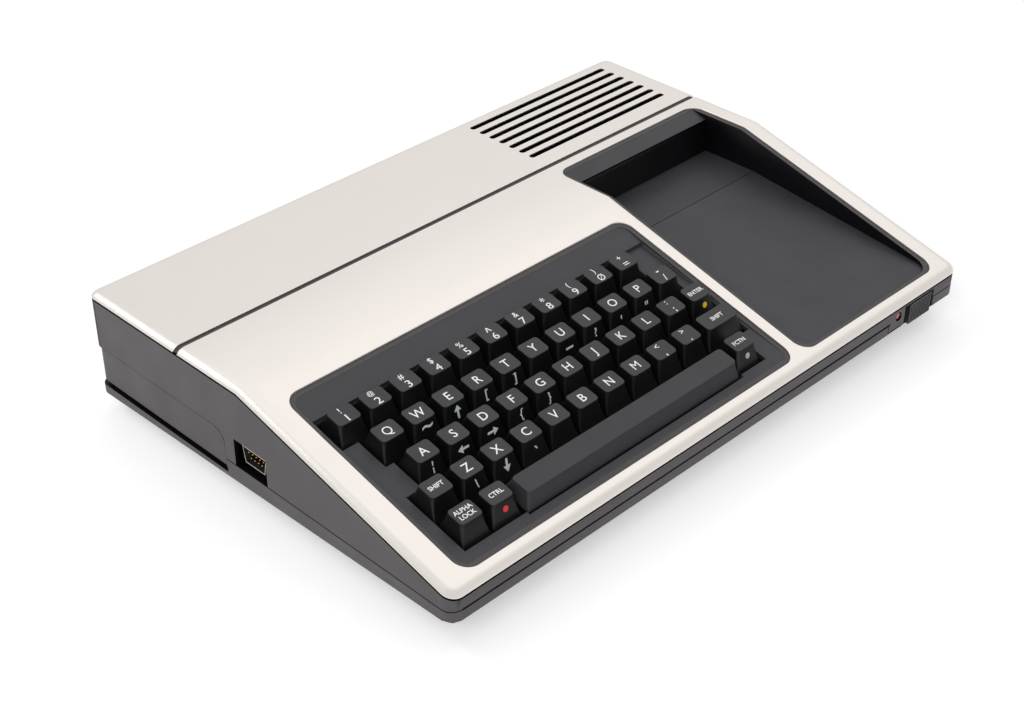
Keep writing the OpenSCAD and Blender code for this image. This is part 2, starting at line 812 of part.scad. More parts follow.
// Shallow panel sunk into the left side, from its rounded front corner round the rear corner
module sunk_panel() {
    y = front_y + sunk_d;
    difference() {
        across(-body_w, sunk_end - wall_x, concat(
            [[y, 0], [rear_y + 20, 0], [rear_y + 20, sunk_top]],
            corner_points(y + sunk_r, sunk_top - sunk_r, sunk_r, 90)
        ));
        plan_prism(side_gap + sunk_t, -5, body_h);
    }
}

module rear_socket_cuts() {
    translate([video_x, rear_y - 15, socket_z]) rotate([-90, 0, 0])
        cylinder(h = 30, r = din_r + socket_gap);
    block(cassette_x - dsub_w / 2 - 4, cassette_x + dsub_w / 2 + 4, rear_y - 6, rear_y + 5,
        socket_z - dsub_h / 2 - 2.3, socket_z + dsub_h / 2 + 2.3);
    block(inlet_x - inlet_w / 2 - 1, inlet_x + inlet_w / 2 + 1, rear_y - 6, rear_y + 5,
        board_z, board_z + inlet_h + 1);
}

module top_case() {
    color("#26272a") difference() {
        intersection() {
            union() {
                difference() {
                    top_skin();
                    top_form(cavity_in);
                    intersection() {
                        plan_prism(side_gap + wall, -5, body_h);
                        across(-body_w, body_w, under_profile(bend_h + edge_gap + wall));
                    }
                }
                intersection() {
                    top_skin();
                    union() {
                        keyboard_recess(wall / cos(key_tilt));
                        tray_shell();
                        for (s = SCREWS)
                            post(s[0], s[1], top_boss_z(s[1]), s[2] + 1, boss_r);
                    }
                }
            }
            union() {
                above_parting(1);
                switch_panel();
            }
        }
        keyboard_recess(0);
        intersection() {
            on_keyboard() translate([0, 0, deck_under - 15]) linear_extrude(20) well_plan();
            keyboard_opening(rim_w);
        }
        tray_space();
        vent_slots(vent_w + 0.8, vent_len + 0.8, roof_z - 1, body_h + 5);
        joy_notch(0);
        sunk_panel();
        rear_socket_cuts();
        // switch slot and lamp hole
        block(switch_left, switch_right, front_y - 5, front_y + front_wall_in + 3,
            skirt_front_z - 2, switch_top);
        translate([lamp_x, front_y - 5, lamp_z]) rotate([-90, 0, 0])
            cylinder(h = 15, r = lamp_r + lamp_gap);
        // hinge bores of the slot door and of the port door
        translate([tray_x0 - wall + 0.4, barrel_y, barrel_z]) rotate([0, 90, 0])
            cylinder(h = tray_x1 - tray_x0 + 2 * wall - 0.8, r = door_pin_r + pin_gap);
        block(inner_x - 20, body_w, port_y0, port_y1, port_z, port_top);
        translate([port_axis_x, port_y0 - 2.4, port_axis_z]) rotate([-90, 0, 0])
            cylinder(h = port_len + 4.8, r = port_pin_r + pin_gap);
        for (s = SCREWS)
            post(s[0], s[1], 0, s[2] - 0.5, screw_r + screw_gap);
    }
}
function top_boss_z(y) = y > step_y ? part_z_rear + part_gap_rear / 2 : part_z + part_gap / 2;

// Outside of the top case: under the covers, and flush with them below their edges
module top_skin() {
    intersection() {
        plan_prism(side_gap, skirt_front_z - 1, body_h);
        union() {
            top_form(case_in);
            across(-body_w, body_w, under_profile(bend_h + edge_gap));
        }
    }
}

// Key guides on a plate under the deck, with the contact board below
module keyboard_frame() {
    x0 = -7;
    x1 = ROWS_RIGHT[2] * key_pitch + 6;
    y0 = band_end(last_row) - plate_front;
    y1 = band_top(0) + plate_rear;
    post_x = [x0 + 4, (x0 + x1) / 2, x1 - 6];
    color("#3a3b3f") on_keyboard() {
        difference() {
            union() {
                block(x0, x1, y0, y1, plate_top - plate_t, plate_top);
                for (k = KEYS) for (dx = stem_offsets(k))
                    guide_at(k, dx, guide_w, plate_top - 0.5, guide_top);
                for (x = post_x) for (y = [y0 + 3.2, y1 - 3.2])
                    post(x, y, plate_top - 0.5, deck_under, 2.8);
            }
            for (k = KEYS) for (dx = stem_offsets(k))
                guide_at(k, dx, stem_w + 2 * stem_gap, plate_top - plate_t - 1, guide_top + 1);
        }
        block(x0 + 1, x1 - 1, y0 + 1, y1 - 1, kb_board_top - board_t, kb_board_top);
        for (x = post_x) for (y = [y0 + 3.2, y1 - 3.2])
            post(x, y, kb_board_top, plate_top - plate_t, 2.2);
    }
}

// Stems of a key: one, and two more under a long bar
function stem_offsets(k) = k[3] > 2 ? [-k[3] * key_pitch / 3, 0, k[3] * key_pitch / 3] : [0];

module guide_at(k, dx, w, z0, z1) {
    x = k[2] * key_pitch + dx;
    y = -k[1] * row_pitch;
    block(x - w / 2, x + w / 2, y - w / 2, y + w / 2, z0, z1);
}

// A key cap: a hollow tapered cap with dished sides and its square stem
module key_cap(k) {
    long = k[3] > 2;
    extra = (k[3] - 1) * key_pitch;
    half = key_base / 2;
    half_l = long ? space_base_l / 2 : half;
    top_l = long ? space_top_l / 2 : key_top_l / 2;
    shift = long ? -space_shift : 0;
    lean = long ? space_lean : key_lean;
    waist_w = key_top_w / 2 + (half - key_top_w / 2) * 0.4;
    waist_l = top_l + (half_l - top_l) * 0.4;
    function ring(hw, hl, y, r, z) = at_height(rounded(-hw - extra / 2, hw + extra / 2,
        shift + y - hl, shift + y + hl, r, r, 3), z);
    function square_ring(hw, hl, y, z) = let (w = hw + extra / 2, m = shift + y)
        at_height([[-w, m - hl], [w, m - hl], [w, m + hl], [-w, m + hl]], z);
    color("#2b2b2e") on_keyboard() translate([k[2] * key_pitch, -k[1] * row_pitch, 0]) {
        difference() {
            ring_stack([
                ring(half, half_l, 0, 1, key_foot),
                ring(waist_w, waist_l, lean * 0.6, 1.6, -key_h * 0.55),
                ring(key_top_w / 2, top_l, lean, 2, -0.5),
                ring(key_top_w / 2 - 0.4, top_l - 0.4, lean, 1.8, 0)
            ]);
            ring_stack([
                square_ring(half - key_wall, half_l - key_wall, 0, key_foot - 0.5),
                square_ring(waist_w - key_wall, waist_l - key_wall, lean * 0.6, -key_h * 0.55),
                square_ring(key_top_w / 2 - key_wall, top_l - key_wall, lean, -key_wall - 0.4)
            ]);
        }
        for (dx = stem_offsets(k))
            block(dx - stem_w / 2, dx + stem_w / 2, -stem_w / 2, stem_w / 2, stem_end,
                -key_wall - 0.2);
    }
}

// Nine-pin socket shell seen from its mouth, wide side up, as points across and up
function d_outline(w, h) = [
    [-w / 2 + h * 0.18, -h / 2], [w / 2 - h * 0.18, -h / 2], [w / 2, h / 2], [-w / 2, h / 2]
];

// Nine-pin socket on a board: it opens towards +Y and its flange is at y = 0
module dsub_socket(body, up) {
    rotate([90, 0, 180]) translate([0, 0, -0.5]) linear_extrude(shell_depth + 0.5) difference() {
        polygon(d_outline(dsub_w, dsub_h));
        polygon(d_outline(dsub_w - 2 * shell_t, dsub_h - 2 * shell_t));
    }
    block(-dsub_w / 2 - 2.4, dsub_w / 2 + 2.4, -body, 0, -up, dsub_h / 2 + 1.2);
}

// Main board with a tab for the controller socket and a tongue for the side port
module main_board() {
    translate([0, 0, board_z - board_t]) linear_extrude(board_t) union() {
        translate([board_x0, board_front])
            square([board_x1 - board_x0, board_rear - board_front]);
        translate([-wall_x + 12, joy_y - 14]) square([40, 32]);
        translate([board_x1 - 5, port_y0 + 8]) square([13, port_len - 16]);
    }
    for (x = [can_x0 + 10:chip_pitch:can_x1 - chip_l - 10]) for (i = [0, 1])
        block(x, x + chip_l, chip_front + i * row_gap, chip_front + i * row_gap + chip_w,
            board_z, board_z + chip_h);
    block(can_x0 + 12, can_x0 + 64, chip_front + 2 * row_gap - 4, chip_front + 2 * row_gap + 12,
        board_z, board_z + chip_h + 1);
}

// Cassette, video and power sockets along the rear of the main board
module rear_sockets() {
    translate([cassette_x, socket_face_y, socket_z]) dsub_socket(socket_back, socket_up);
    block(video_x - din_r - 1.6, video_x + din_r + 1.6, socket_face_y - socket_back,
        socket_face_y, board_z, socket_z + din_r + 1.6);
    translate([video_x, socket_face_y - 0.5, socket_z]) rotate([-90, 0, 0]) difference() {
        cylinder(h = 8.5, r = din_r);
        translate([0, 0, 2.5]) cylinder(h = 8, r = din_r - 1);
    }
    block(inlet_x - inlet_w / 2, inlet_x + inlet_w / 2, socket_face_y - socket_back, rear_y - 2,
        board_z, board_z + inlet_h);
}

// Upright board behind the cartridge bay with the cartridge connector
module riser() {
    y = bay_y + 0.5 + connector_back;
    mid = floor_z + 2 + edge_socket_h / 2;
    block(tray_x0 + 8, tray_x1 - 8, y, y + board_t, board_z, roof_z - 6);
    difference() {
        block(tray_x0 + 20, tray_x1 - 20, y - connector_back, y, floor_z + 2,
            floor_z + 2 + edge_socket_h);
        block(tray_x0 + 25, tray_x1 - 25, y - connector_back - 1, y - 2, mid - edge_slot / 2,
            mid + edge_slot / 2);
    }
}

// Power board with its switch, a heat sink and the lamp on its two legs
module power_board() {
    block(power_x0, power_x1, power_y0, power_y1, power_board_z - board_t, power_board_z);
    block(knob_x0 + 2, power_x1 - 1, power_y0 + 1, power_y0 + 1 + switch_l, power_board_z,
        knob_z + knob_h - 2);
    block(power_x0 + 4, power_x1 - 6, power_y1 - 12, power_y1 - 9, power_board_z,
        power_board_z + sink_h);
    translate([lamp_x, front_y + 1, lamp_z]) rotate([-90, 0, 0]) {
        translate([0, 0, 1.4]) cylinder(h = 4.6, r = lamp_r);
        cylinder(h = 1.4, r1 = lamp_r - 0.9, r2 = lamp_r);
    }
    for (x = [lamp_x - 1 - leg, lamp_x + 1]) {
        block(x, x + leg, front_y + 6.5, power_y0 + 2, lamp_z - leg / 2, lamp_z + leg / 2);
        block(x, x + leg, power_y0 + 2 - leg, power_y0 + 2, power_board_z, lamp_z);
    }
}

// Everything that plugs go into: on the left side and along the rear
module sockets() {
    color("#3a3b3f") {
        translate([-wall_x + 9, joy_y, joy_z]) rotate([0, 0, 90]) dsub_socket(8, joy_up);
        rear_sockets();
    }
}

module circuit_boards() {
    color("#2f6b3c") {
        main_board();
        riser();
        power_board();
        screening_can();
    }
}

// Thin folded can over the chips, open below, standing on the main board
module screening_can() {
    difference() {
        block(can_x0, can_x1, can_y0, can_y1, board_z, board_z + can_h);
        block(can_x0 + can_t, can_x1 - can_t, can_y0 + can_t, can_y1 - can_t, board_z - 1,
            board_z + can_h - can_t);
        for (x = [can_x0 + can_hole_in:can_hole_step_x:can_x1 - can_hole_in])
            for (y = [can_y0 + can_hole_in:can_hole_step_y:can_y1 - can_hole_in + 4])
                post(x, y, board_z + can_h - 5, board_z + can_h + 1, can_hole_r);
    }
}

// Door that hangs across the cartridge slot on two hinge pins
module cartridge_door() {
    color("#202124") translate([0, barrel_y, barrel_z]) {
        rotate([-door_lean, 0, 0])
            block(tray_x0 + door_gap, tray_x1 - door_gap, -door_r, door_t - door_r, -door_len, 0);
        translate([tray_x0 + door_gap, 0, 0]) rotate([0, 90, 0])
            cylinder(h = tray_x1 - tray_x0 - 2 * door_gap, r = door_r);
        translate([tray_x0 - wall + 0.7, 0, 0]) rotate([0, 90, 0])
            cylinder(h = tray_x1 - tray_x0 + 2 * wall - 1.4, r = door_pin_r);
    }
}

// Flap over the expansion port, hinged at its upper edge
module port_door() {
    color("#26272a") translate([port_axis_x, 0, port_axis_z]) {
        block(-port_door_t / 2, port_door_t / 2, port_y0 + port_door_gap, port_y1 - port_door_gap,
            port_z + port_door_gap - port_axis_z, 1);
        translate([0, port_y0 - 2, 0]) rotate([-90, 0, 0])
            cylinder(h = port_len + 4, r = port_pin_r);
    }
}

// Ribbed slide knob: its face in the slot, a wider flange behind the wall, and an arm
module power_knob() {
    back = front_y + front_wall_in + 0.3;
    rib = knob_w / (2 * knob_ribs + 1);
    color("#1d1d1f") {
        difference() {
            block(knob_x0, knob_x1, front_y + side_gap, back + 0.5, knob_z, knob_z + knob_h);
            for (i = [0:knob_ribs - 1])
                block(knob_x0 + rib * (2 * i + 1), knob_x0 + rib * (2 * i + 2), front_y - 1,
                    front_y + side_gap + 0.5, knob_z + 0.8, knob_z + knob_h - 0.8);
        }
        block(knob_x0 - 1, knob_x1 + flange_right, back, back + 1.4, flange_z, knob_z + knob_h + 0.4);
        block(knob_x0 - flange_left, knob_x0, back, back + 1.4, flange_z, lamp_z - lamp_r - 1);
        block((knob_x0 + knob_x1) / 2 - 2, (knob_x0 + knob_x1) / 2 + 2, back + 1, power_y0 + 0.7,
            flange_z + 2, flange_z + 6);
    }
}

bottom_case();
top_case();
front_cover();
rear_cover();
feet();
case_screws();
keyboard_frame();
circuit_boards();
sockets();
cartridge_door();
port_door();
power_knob();
for (k = KEYS) key_cap(k);
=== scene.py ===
"""Low wedge-shaped home computer with a built-in keyboard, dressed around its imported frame.

Lengths in the code are millimetres. Every piece is turned into metres when it is settled.
"""

import math
from collections import namedtuple

import bmesh
import bpy
import numpy as np
from mathutils import Matrix, Vector


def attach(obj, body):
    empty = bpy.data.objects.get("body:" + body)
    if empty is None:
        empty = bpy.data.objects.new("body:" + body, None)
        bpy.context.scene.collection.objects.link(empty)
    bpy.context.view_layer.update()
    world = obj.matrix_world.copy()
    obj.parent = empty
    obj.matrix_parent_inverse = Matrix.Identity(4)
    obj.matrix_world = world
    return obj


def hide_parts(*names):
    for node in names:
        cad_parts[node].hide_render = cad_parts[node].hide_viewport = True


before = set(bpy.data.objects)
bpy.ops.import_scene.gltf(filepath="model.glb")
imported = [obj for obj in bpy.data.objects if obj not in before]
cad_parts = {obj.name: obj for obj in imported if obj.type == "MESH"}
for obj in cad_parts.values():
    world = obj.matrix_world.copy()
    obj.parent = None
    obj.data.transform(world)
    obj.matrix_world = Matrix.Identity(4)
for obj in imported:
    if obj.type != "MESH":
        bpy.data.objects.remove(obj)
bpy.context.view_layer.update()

bl_info = {
    "name": "Wedge home computer",
    "version": (1, 0, 0),
    "blender": (4, 5, 0),
    "location": "View3D > Sidebar > Computer",
    "description": "Dresses the packed frame of a home computer with its finished pieces",
    "category": "Object",
}

MM = 0.001

# Case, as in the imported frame
BODY_W = 384.0
HALF_W = BODY_W / 2
BODY_D = 265.0
BODY_H = 71.0
FRONT_Y = -BODY_D / 2
REAR_Y = BODY_D / 2
BREAK_Y = FRONT_Y + 144.0
SLOPE = math.radians(14.5)
FRONT_CORNER_R = 7.0
REAR_CORNER_R = 6.0
# How far a cutter reaches past the case, and from where to where through its top
PAST = 20.0
CUTTER_Z = (10.0, 90.0)

# Metal covers
SHEET_T = 1.0
PANEL_DEPTH = 75.0
PANEL_OVERLAP = 60.0
BEND_STEPS = 12
BEND_W = 5.2
BEND_H = 2.7
BEND_ANGLE = 2 * math.atan(BEND_H / BEND_W)
BEND_R = (BEND_W ** 2 + BEND_H ** 2) / (2 * BEND_H)
EDGE_CUT = 0.05
SPLIT_Y = FRONT_Y + 189.6
SPLIT_GAP = 3.2
OPEN_Y0 = FRONT_Y + 6.9
KEYBOARD_OPENING = (-177.3, 56.0, OPEN_Y0, FRONT_Y + 128.3)
TRAY_OPENING = (63.1, 179.0, OPEN_Y0, FRONT_Y + 183.5)
OPENINGS = (KEYBOARD_OPENING, TRAY_OPENING)
OPENING_R = 8.5
OPENING_MARGIN = 0.5
RIM_W = 2.5
VENT_COUNT = 7
VENT_PITCH = 8.0
VENT_W = 3.8
VENT_LEN = 113.0
VENT_X = 178.0 - VENT_LEN / 2
VENT_Y = FRONT_Y + 206.0

# Tray: its floor, the crease across it, the slot at its rear
FLOOR_Z = 47.0
CREASE_Y = FRONT_Y + 133.0
CREASE_HALF_W = 0.2
CREASE_DEPTH = 0.35
SLOT_Y = FRONT_Y + 171.0
SLOT_DEPTH = 45.0

# Gaps and grooves round the case, and the sunk panel in its left side
PARTING_Z = 23.5
LEDGE_FOOT = 15.0
GROOVE_X = (-185.0, 130.1)
GROOVE_DEPTH = 1.3
GROOVE_HALF_H = 0.6
EDGE_GROOVE = 1.2
SUNK_Y = FRONT_Y + 158.0
SUNK_TOP = 39.0
SUNK_R = 7.0
SIDE_FACE_X = -191.7
SUNK_LINE_DEPTH = 0.2
SUNK_LINE_H = 0.6
SUNK_FOOT = 18.0
RECESS_FOOT = 28.0

# Boards, sockets, lamp and the notch of the controller socket
BOARD_Z = 24.0
JOY_Y = FRONT_Y + 138.0
JOY_Z = BOARD_Z + 7.4
NOTCH_HALF_W = 13.0
NOTCH_DEPTH = 8.0
NOTCH_TOP = 42.0
SOCKET_Z = BOARD_Z + 8.5
CASSETTE_X = -114.0
CAN_X = (-137.7, 51.1)
CAN_Y = (20.0, 100.0)
PIN_PITCH = 2.77
PIN_R = 0.5
LAMP = Vector((137.4, FRONT_Y + 1, 25.3))
LAMP_R = 2.6

# Slide knob of the power switch
KNOB_X = (148.0, 167.6)
KNOB_Z = (15.6, 27.8)
KNOB_FACE_Y = FRONT_Y + 0.3
KNOB_BACK_Y = FRONT_Y + 3.1
KNOB_GROOVES = 13
KNOB_GROOVE_DEPTH = 0.45
FLANGE_Z = 17.8

# Keyboard: origin at the middle of the first key, on the plane of the key tops
KEY_ORIGIN = Vector((-162.9, FRONT_Y + 99.2, 63.6))
KEY_TILT = math.radians(12.75)
KEY_PITCH = 19.05
ROW_PITCH = 19.2
KEY_BASE = 17.8
KEY_H = 11.0
KEY_WALL = 1.3
STEM_W = 4.0
STEM_END = -17.0
KEY_LEAN = 2.3
BAR_BASE_L = 20.4
BAR_TOP_L = 11.7
BAR_SHIFT = 1.3
BAR_LEAN = 0.3
TOP_ROUND = 0.42
KEY_PLACE = Matrix.Translation(KEY_ORIGIN) @ Matrix.Rotation(KEY_TILT, 4, "X")

Key = namedtuple("Key", "name row column width")


def row_of_keys(row, start, names):
    return [Key(name, row, start + i, 1.0) for i, name in enumerate(names.split())]


KEYS = (
    row_of_keys(0, 0.0, "1 2 3 4 5 6 7 8 9 0 equals")
    + row_of_keys(1, 0.5, "q w e r t y u i o p slash")
    + row_of_keys(2, 0.75, "a s d f g h j k l semicolon enter")
    + row_of_keys(3, 0.25, "left_shift z x c v b n m comma period")
    + [Key("right_shift", 3, 10.5, 1.5)]
    + row_of_keys(4, 0.25, "alpha_lock ctrl")
    + [Key("space", 4, 5.75, 8.0), Key("fctn", 4, 10.25, 1.0)]
)

# Signs on the key tops: the upper and the lower line, or one line
TWO_SIGNS = {
    "1": "!1", "2": "@2", "3": "#3", "4": "$4", "5": "%5", "6": "^6", "7": "&7",
    "8": "*8", "9": "(9", "0": ")Ø", "equals": "+=", "slash": "-/",
    "semicolon": ":;", "comma": "<,", "period": ">.",
}
WORDS = {
    "enter": ["ENTER"], "left_shift": ["SHIFT"], "right_shift": ["SHIFT"],
    "alpha_lock": ["ALPHA", "LOCK"], "ctrl": ["CTRL"], "fctn": ["FCTN"],
}
# Signs on the front slopes of the keys
FRONT_SIGNS = {
    "w": "~", "e": "up", "r": "[", "t": "]", "u": "_", "i": "?", "o": "'", "p": '"',
    "a": "¦", "s": "left", "d": "right", "f": "{", "g": "}", "z": "\\", "x": "down",
    "c": "`",
}
# Sizes of the signs that the font draws small or large
UPPER_SIZES = {"@": 0.52, "^": 1.1, "*": 0.95, "-": 1.1, "(": 0.7, ")": 0.7, "&": 0.68}
FRONT_SIZES = {"~": 8.4, "'": 5.5, '"': 5.5, "`": 7.0}
# Signs that the font would fill in if they were drawn bolder
FINE_SIGNS = "MQ4"
DOTS = {"ctrl": "red_dot", "fctn": "pale_dot", "enter": "yellow_dot"}


def srgb(r, g, b):
    """A screen colour of 0 to 255 as a linear colour."""
    def one(c):
        c /= 255
        return c / 12.92 if c <= 0.04045 else ((c + 0.055) / 1.055) ** 2.4
    return (one(r), one(g), one(b))


# ---- mesh making

# Points closer than this are one point, and faces less bent than this are one face
SAME_PLACE = 0.002
SAME_FACE = math.radians(0.4)


def rounded_outline(x0, x1, y0, y1, front_r, rear_r, corner_steps=8, side_steps=1):
    """Counter-clockwise outline of a rectangle with rounded corners."""
    corners = [
        (x1 - front_r, y0 + front_r, front_r, -90),
        (x1 - rear_r, y1 - rear_r, rear_r, 0),
        (x0 + rear_r, y1 - rear_r, rear_r, 90),
        (x0 + front_r, y0 + front_r, front_r, 180),
    ]
    arcs = []
    for cx, cy, r, start in corners:
        turns = np.radians(start + 90 * np.arange(corner_steps + 1) / corner_steps)
        arcs.append(np.stack([cx + r * np.cos(turns), cy + r * np.sin(turns)], axis=1))
    points = []
    for i, arc in enumerate(arcs):
        points.extend(arc)
        nxt = arcs[(i + 1) % 4][0]
        for k in range(1, side_steps):
            points.append(arc[-1] + (nxt - arc[-1]) * k / side_steps)
    return np.array(points)


def at_height(outline, z):
    return np.column_stack([outline, np.full(len(outline), z)])


def ring_solid(rings):
    """Points and faces of the closed solid through rings of equal length."""
    n = len(rings[0])
    last = (len(rings) - 1) * n
    faces = [list(range(n - 1, -1, -1)), list(range(last, last + n))]
    for k in range(len(rings) - 1):
        a, b = k * n, (k + 1) * n
        faces += [[a + i, a + (i + 1) % n, b + (i + 1) % n, b + i] for i in range(n)]
    return np.concatenate(rings), faces


def joined(solids):
    """Points and faces of several solids as one."""
    points, faces = [], []
    for solid_points, solid_faces in solids:
        start = sum(map(len, points))
        faces += [[i + start for i in face] for face in solid_faces]
        points.append(solid_points)
    return np.concatenate(points), faces


def add_object(name, data):
    """A new object in the scene, holding a mesh, a lamp or a camera."""
    holder = bpy.data.objects.new(name, data)
    bpy.context.scene.collection.objects.link(holder)
    return holder


def add_piece(name, points, faces):
    """A new object from points in millimetres."""
    mesh = bpy.data.meshes.new(name)
    mesh.from_pydata([tuple(map(float, p)) for p in points], [], faces)
    mesh.update()
    return add_object(name, mesh)


def prism_piece(outline, z0, z1):
    """An outline in X and Y, drawn up from z0 to z1."""
    return add_piece("cutter", *ring_solid([at_height(outline, z0), at_height(outline, z1)]))


def box_piece(x0, x1, y0, y1, z0, z1):
    return prism_piece(np.array([(x0, y0), (x1, y0), (x1, y1), (x0, y1)], float), z0, z1)


def side_prism(profile, x0, x1):
    """An outline in Y and Z, drawn out from x0 to x1."""
    rings = [np.array([(x, y, z) for y, z in profile], float) for x in (x0, x1)]
    return add_piece("cutter", *ring_solid(rings))


def combine(piece, operation, *others):
    """Cuts the others from a piece, joins them to it, or keeps what they share."""
    for other in others:
        modifier = piece.modifiers.new("combine", "BOOLEAN")
        modifier.operation = operation
        modifier.solver = "EXACT"
        modifier.object = other
    graph = bpy.context.evaluated_depsgraph_get()
    made = bpy.data.meshes.new_from_object(piece.evaluated_get(graph), depsgraph=graph)
    piece.modifiers.clear()
    old = piece.data
    piece.data = made
    bpy.data.meshes.remove(old)
    for other in others:
        mesh = other.data
        bpy.data.objects.remove(other)
        bpy.data.meshes.remove(mesh)
    if not piece.data.polygons:
        raise RuntimeError(f"{piece.name}: nothing is left after {operation}")
    return piece


def copy_of_node(node, name):
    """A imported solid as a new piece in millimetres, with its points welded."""
    bm = bmesh.new()
    bm.from_mesh(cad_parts[node].data)
    bmesh.ops.scale(bm, vec=(1 / MM,) * 3, verts=bm.verts)
    bmesh.ops.remove_doubles(bm, verts=bm.verts, dist=SAME_PLACE)
    mesh = bpy.data.meshes.new(name)
    bm.to_mesh(mesh)
    bm.free()
    return add_object(name, mesh)


def round_edges(piece, width, least_angle=35.0, least_length=1.2, steps=2, choose=None,
                weld=0.0, room=0.0):
    """Joins flat faces and rounds the outer edges that are long and sharp enough.

    Edges shorter than weld are closed first. An edge next to one that is shorter than room
    times the width stays sharp, because it would keep all the others from being rounded.
    """
    bm = bmesh.new()
    bm.from_mesh(piece.data)
    bmesh.ops.remove_doubles(bm, verts=bm.verts, dist=SAME_PLACE)
    if weld:
        bmesh.ops.dissolve_degenerate(bm, dist=weld, edges=bm.edges)
    bmesh.ops.dissolve_limit(
        bm, angle_limit=SAME_FACE, use_dissolve_boundaries=False,
        verts=bm.verts, edges=bm.edges, delimit={"MATERIAL"},
    )
    sharp = [
        e for e in bm.edges
        if e.is_manifold and e.is_convex and e.calc_length() > least_length
        and e.calc_face_angle(0.0) > math.radians(least_angle)
        and (choose is None or choose(e))
        and all(near.calc_length() > room * width for v in e.verts for near in v.link_edges)
    ]
    if sharp:
        bmesh.ops.bevel(
            bm, geom=sharp, offset=width, offset_type="OFFSET", segments=steps,
            profile=0.5, affect="EDGES", clamp_overlap=True, material=-1,
        )
    bmesh.ops.recalc_face_normals(bm, faces=bm.faces)
    bm.to_mesh(piece.data)
    bm.free()
    return piece


def settle(piece, body, finishes, nodes=(), sharp_angle=40.0, weighted=True):
    """Turns a piece into metres, shades it, gives it its finishes and puts it on its body."""
    mesh = piece.data
    mesh.transform(Matrix.Scale(MM, 4))
    mesh.shade_smooth()
    mesh.set_sharp_from_angle(angle=math.radians(sharp_angle))
    for finish in finishes if isinstance(finishes, (list, tuple)) else [finishes]:
        mesh.materials.append(finish)
    if weighted:
        modifier = piece.modifiers.new("flat_faces", "WEIGHTED_NORMAL")
        modifier.keep_sharp = True
    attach(piece, body)
    if nodes:
        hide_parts(*nodes)
    return piece


def paint_faces(piece, rule):
    """Gives each face the number of the finish that the rule picks for a place on it."""
    mesh = piece.data
    mesh.calc_loop_triangles()
    largest = {}
    for part in mesh.loop_triangles:
        if part.area >= largest.get(part.polygon_index, (0.0, None))[0]:
            largest[part.polygon_index] = (part.area, Vector(part.center))
    for face in mesh.polygons:
        face.material_index = rule(largest[face.index][1], face.normal)


# ---- finishes

EVEN = (1.0, 1.0, 1.0)
# Sockets of a Mix node for colours, which share their names with others
MIX_SHARE, MIX_FIRST, MIX_SECOND, MIX_RESULT = 0, 6, 7, 2


def feed(tree, node, sockets):
    """Gives inputs of a node plain values, or links from other nodes."""
    for name, value in sockets.items():
        if isinstance(value, bpy.types.NodeSocket):
            tree.links.new(value, node.inputs[name])
        else:
            node.inputs[name].default_value = value
    return node


def add_node(tree, kind, sockets=None, **choices):
    """A new shader node with its choices made and its inputs fed."""
    node = tree.nodes.new("ShaderNode" + kind)
    for name, value in choices.items():
        setattr(node, name, value)
    return feed(tree, node, sockets or {})


def emptied_tree(owner, kind="Material"):
    """The node tree of a material or a world, holding nothing but its output."""
    owner.use_nodes = True
    owner.node_tree.nodes.clear()
    return owner.node_tree, add_node(owner.node_tree, "Output" + kind)


def new_finish(name):
    """A new material with its tree and its surface shader."""
    finish = bpy.data.materials.new(name)
    tree, output = emptied_tree(finish)
    surface = add_node(tree, "BsdfPrincipled")
    feed(tree, output, {"Surface": surface.outputs["BSDF"]})
    return finish, tree, surface


def noise(tree, size_mm, detail=3.0, stretch=EVEN):
    """Noise in the piece's own coordinates, with features of about that size."""
    place = add_node(tree, "TexCoord").outputs["Object"]
    scaled = add_node(tree, "Mapping", {"Vector": place, "Scale": stretch}).outputs["Vector"]
    return add_node(tree, "TexNoise", {"Vector": scaled, "Scale": 1 / (size_mm * MM),
                                       "Detail": detail}).outputs["Fac"]


def spread(tree, value, low, high, start=0.3, end=0.7):
    """A value between start and end turned into the range from low to high."""
    return add_node(tree, "MapRange", {"Value": value, "From Min": start, "From Max": end,
                                       "To Min": low, "To Max": high}).outputs["Result"]


def blend_colours(tree, share, first, second):
    first, second = (c if isinstance(c, bpy.types.NodeSocket) else (*c, 1.0)
                     for c in (first, second))
    return add_node(tree, "Mix", {MIX_SHARE: share, MIX_FIRST: first, MIX_SECOND: second},
                    data_type="RGBA").outputs[MIX_RESULT]


def shade(colour, factor):
    return tuple(min(1.0, c * factor) for c in colour)


def toned(tree, pattern, colour, low, high, *limits):
    """The colour times low to high, as the pattern rises."""
    return blend_colours(tree, spread(tree, pattern, 0.0, 1.0, *limits),
                         shade(colour, low), shade(colour, high))


def relief(tree, height, depth_mm, strength=1.0):
    """Normals of a relief of that depth, from a height value."""
    return add_node(tree, "Bump", {"Height": height, "Distance": depth_mm * MM,
                                   "Strength": strength}).outputs["Normal"]


def moulded_plastic(name, colour, grain_mm=0.45, grain_depth=0.03, roughness=0.5,
                    mottle=0.12, specular=0.5):
    """Injection-moulded plastic: fine spark-eroded grain, faint mottling and handling wear."""
    finish, tree, surface = new_finish(name)
    grain = noise(tree, grain_mm, 4.0)
    cloud = noise(tree, 22.0)
    speckle = toned(tree, grain, colour, 1 - mottle, 1 + mottle, 0.35, 0.65)
    feed(tree, surface, {
        "Base Color": blend_colours(tree, spread(tree, cloud, 0.0, 0.35), speckle,
                                    shade(colour, 1 + 1.4 * mottle)),
        "Roughness": spread(tree, cloud, roughness - 0.05, roughness + 0.07),
        "Specular IOR Level": specular,
        "Normal": relief(tree, grain, grain_depth),
    })
    return finish


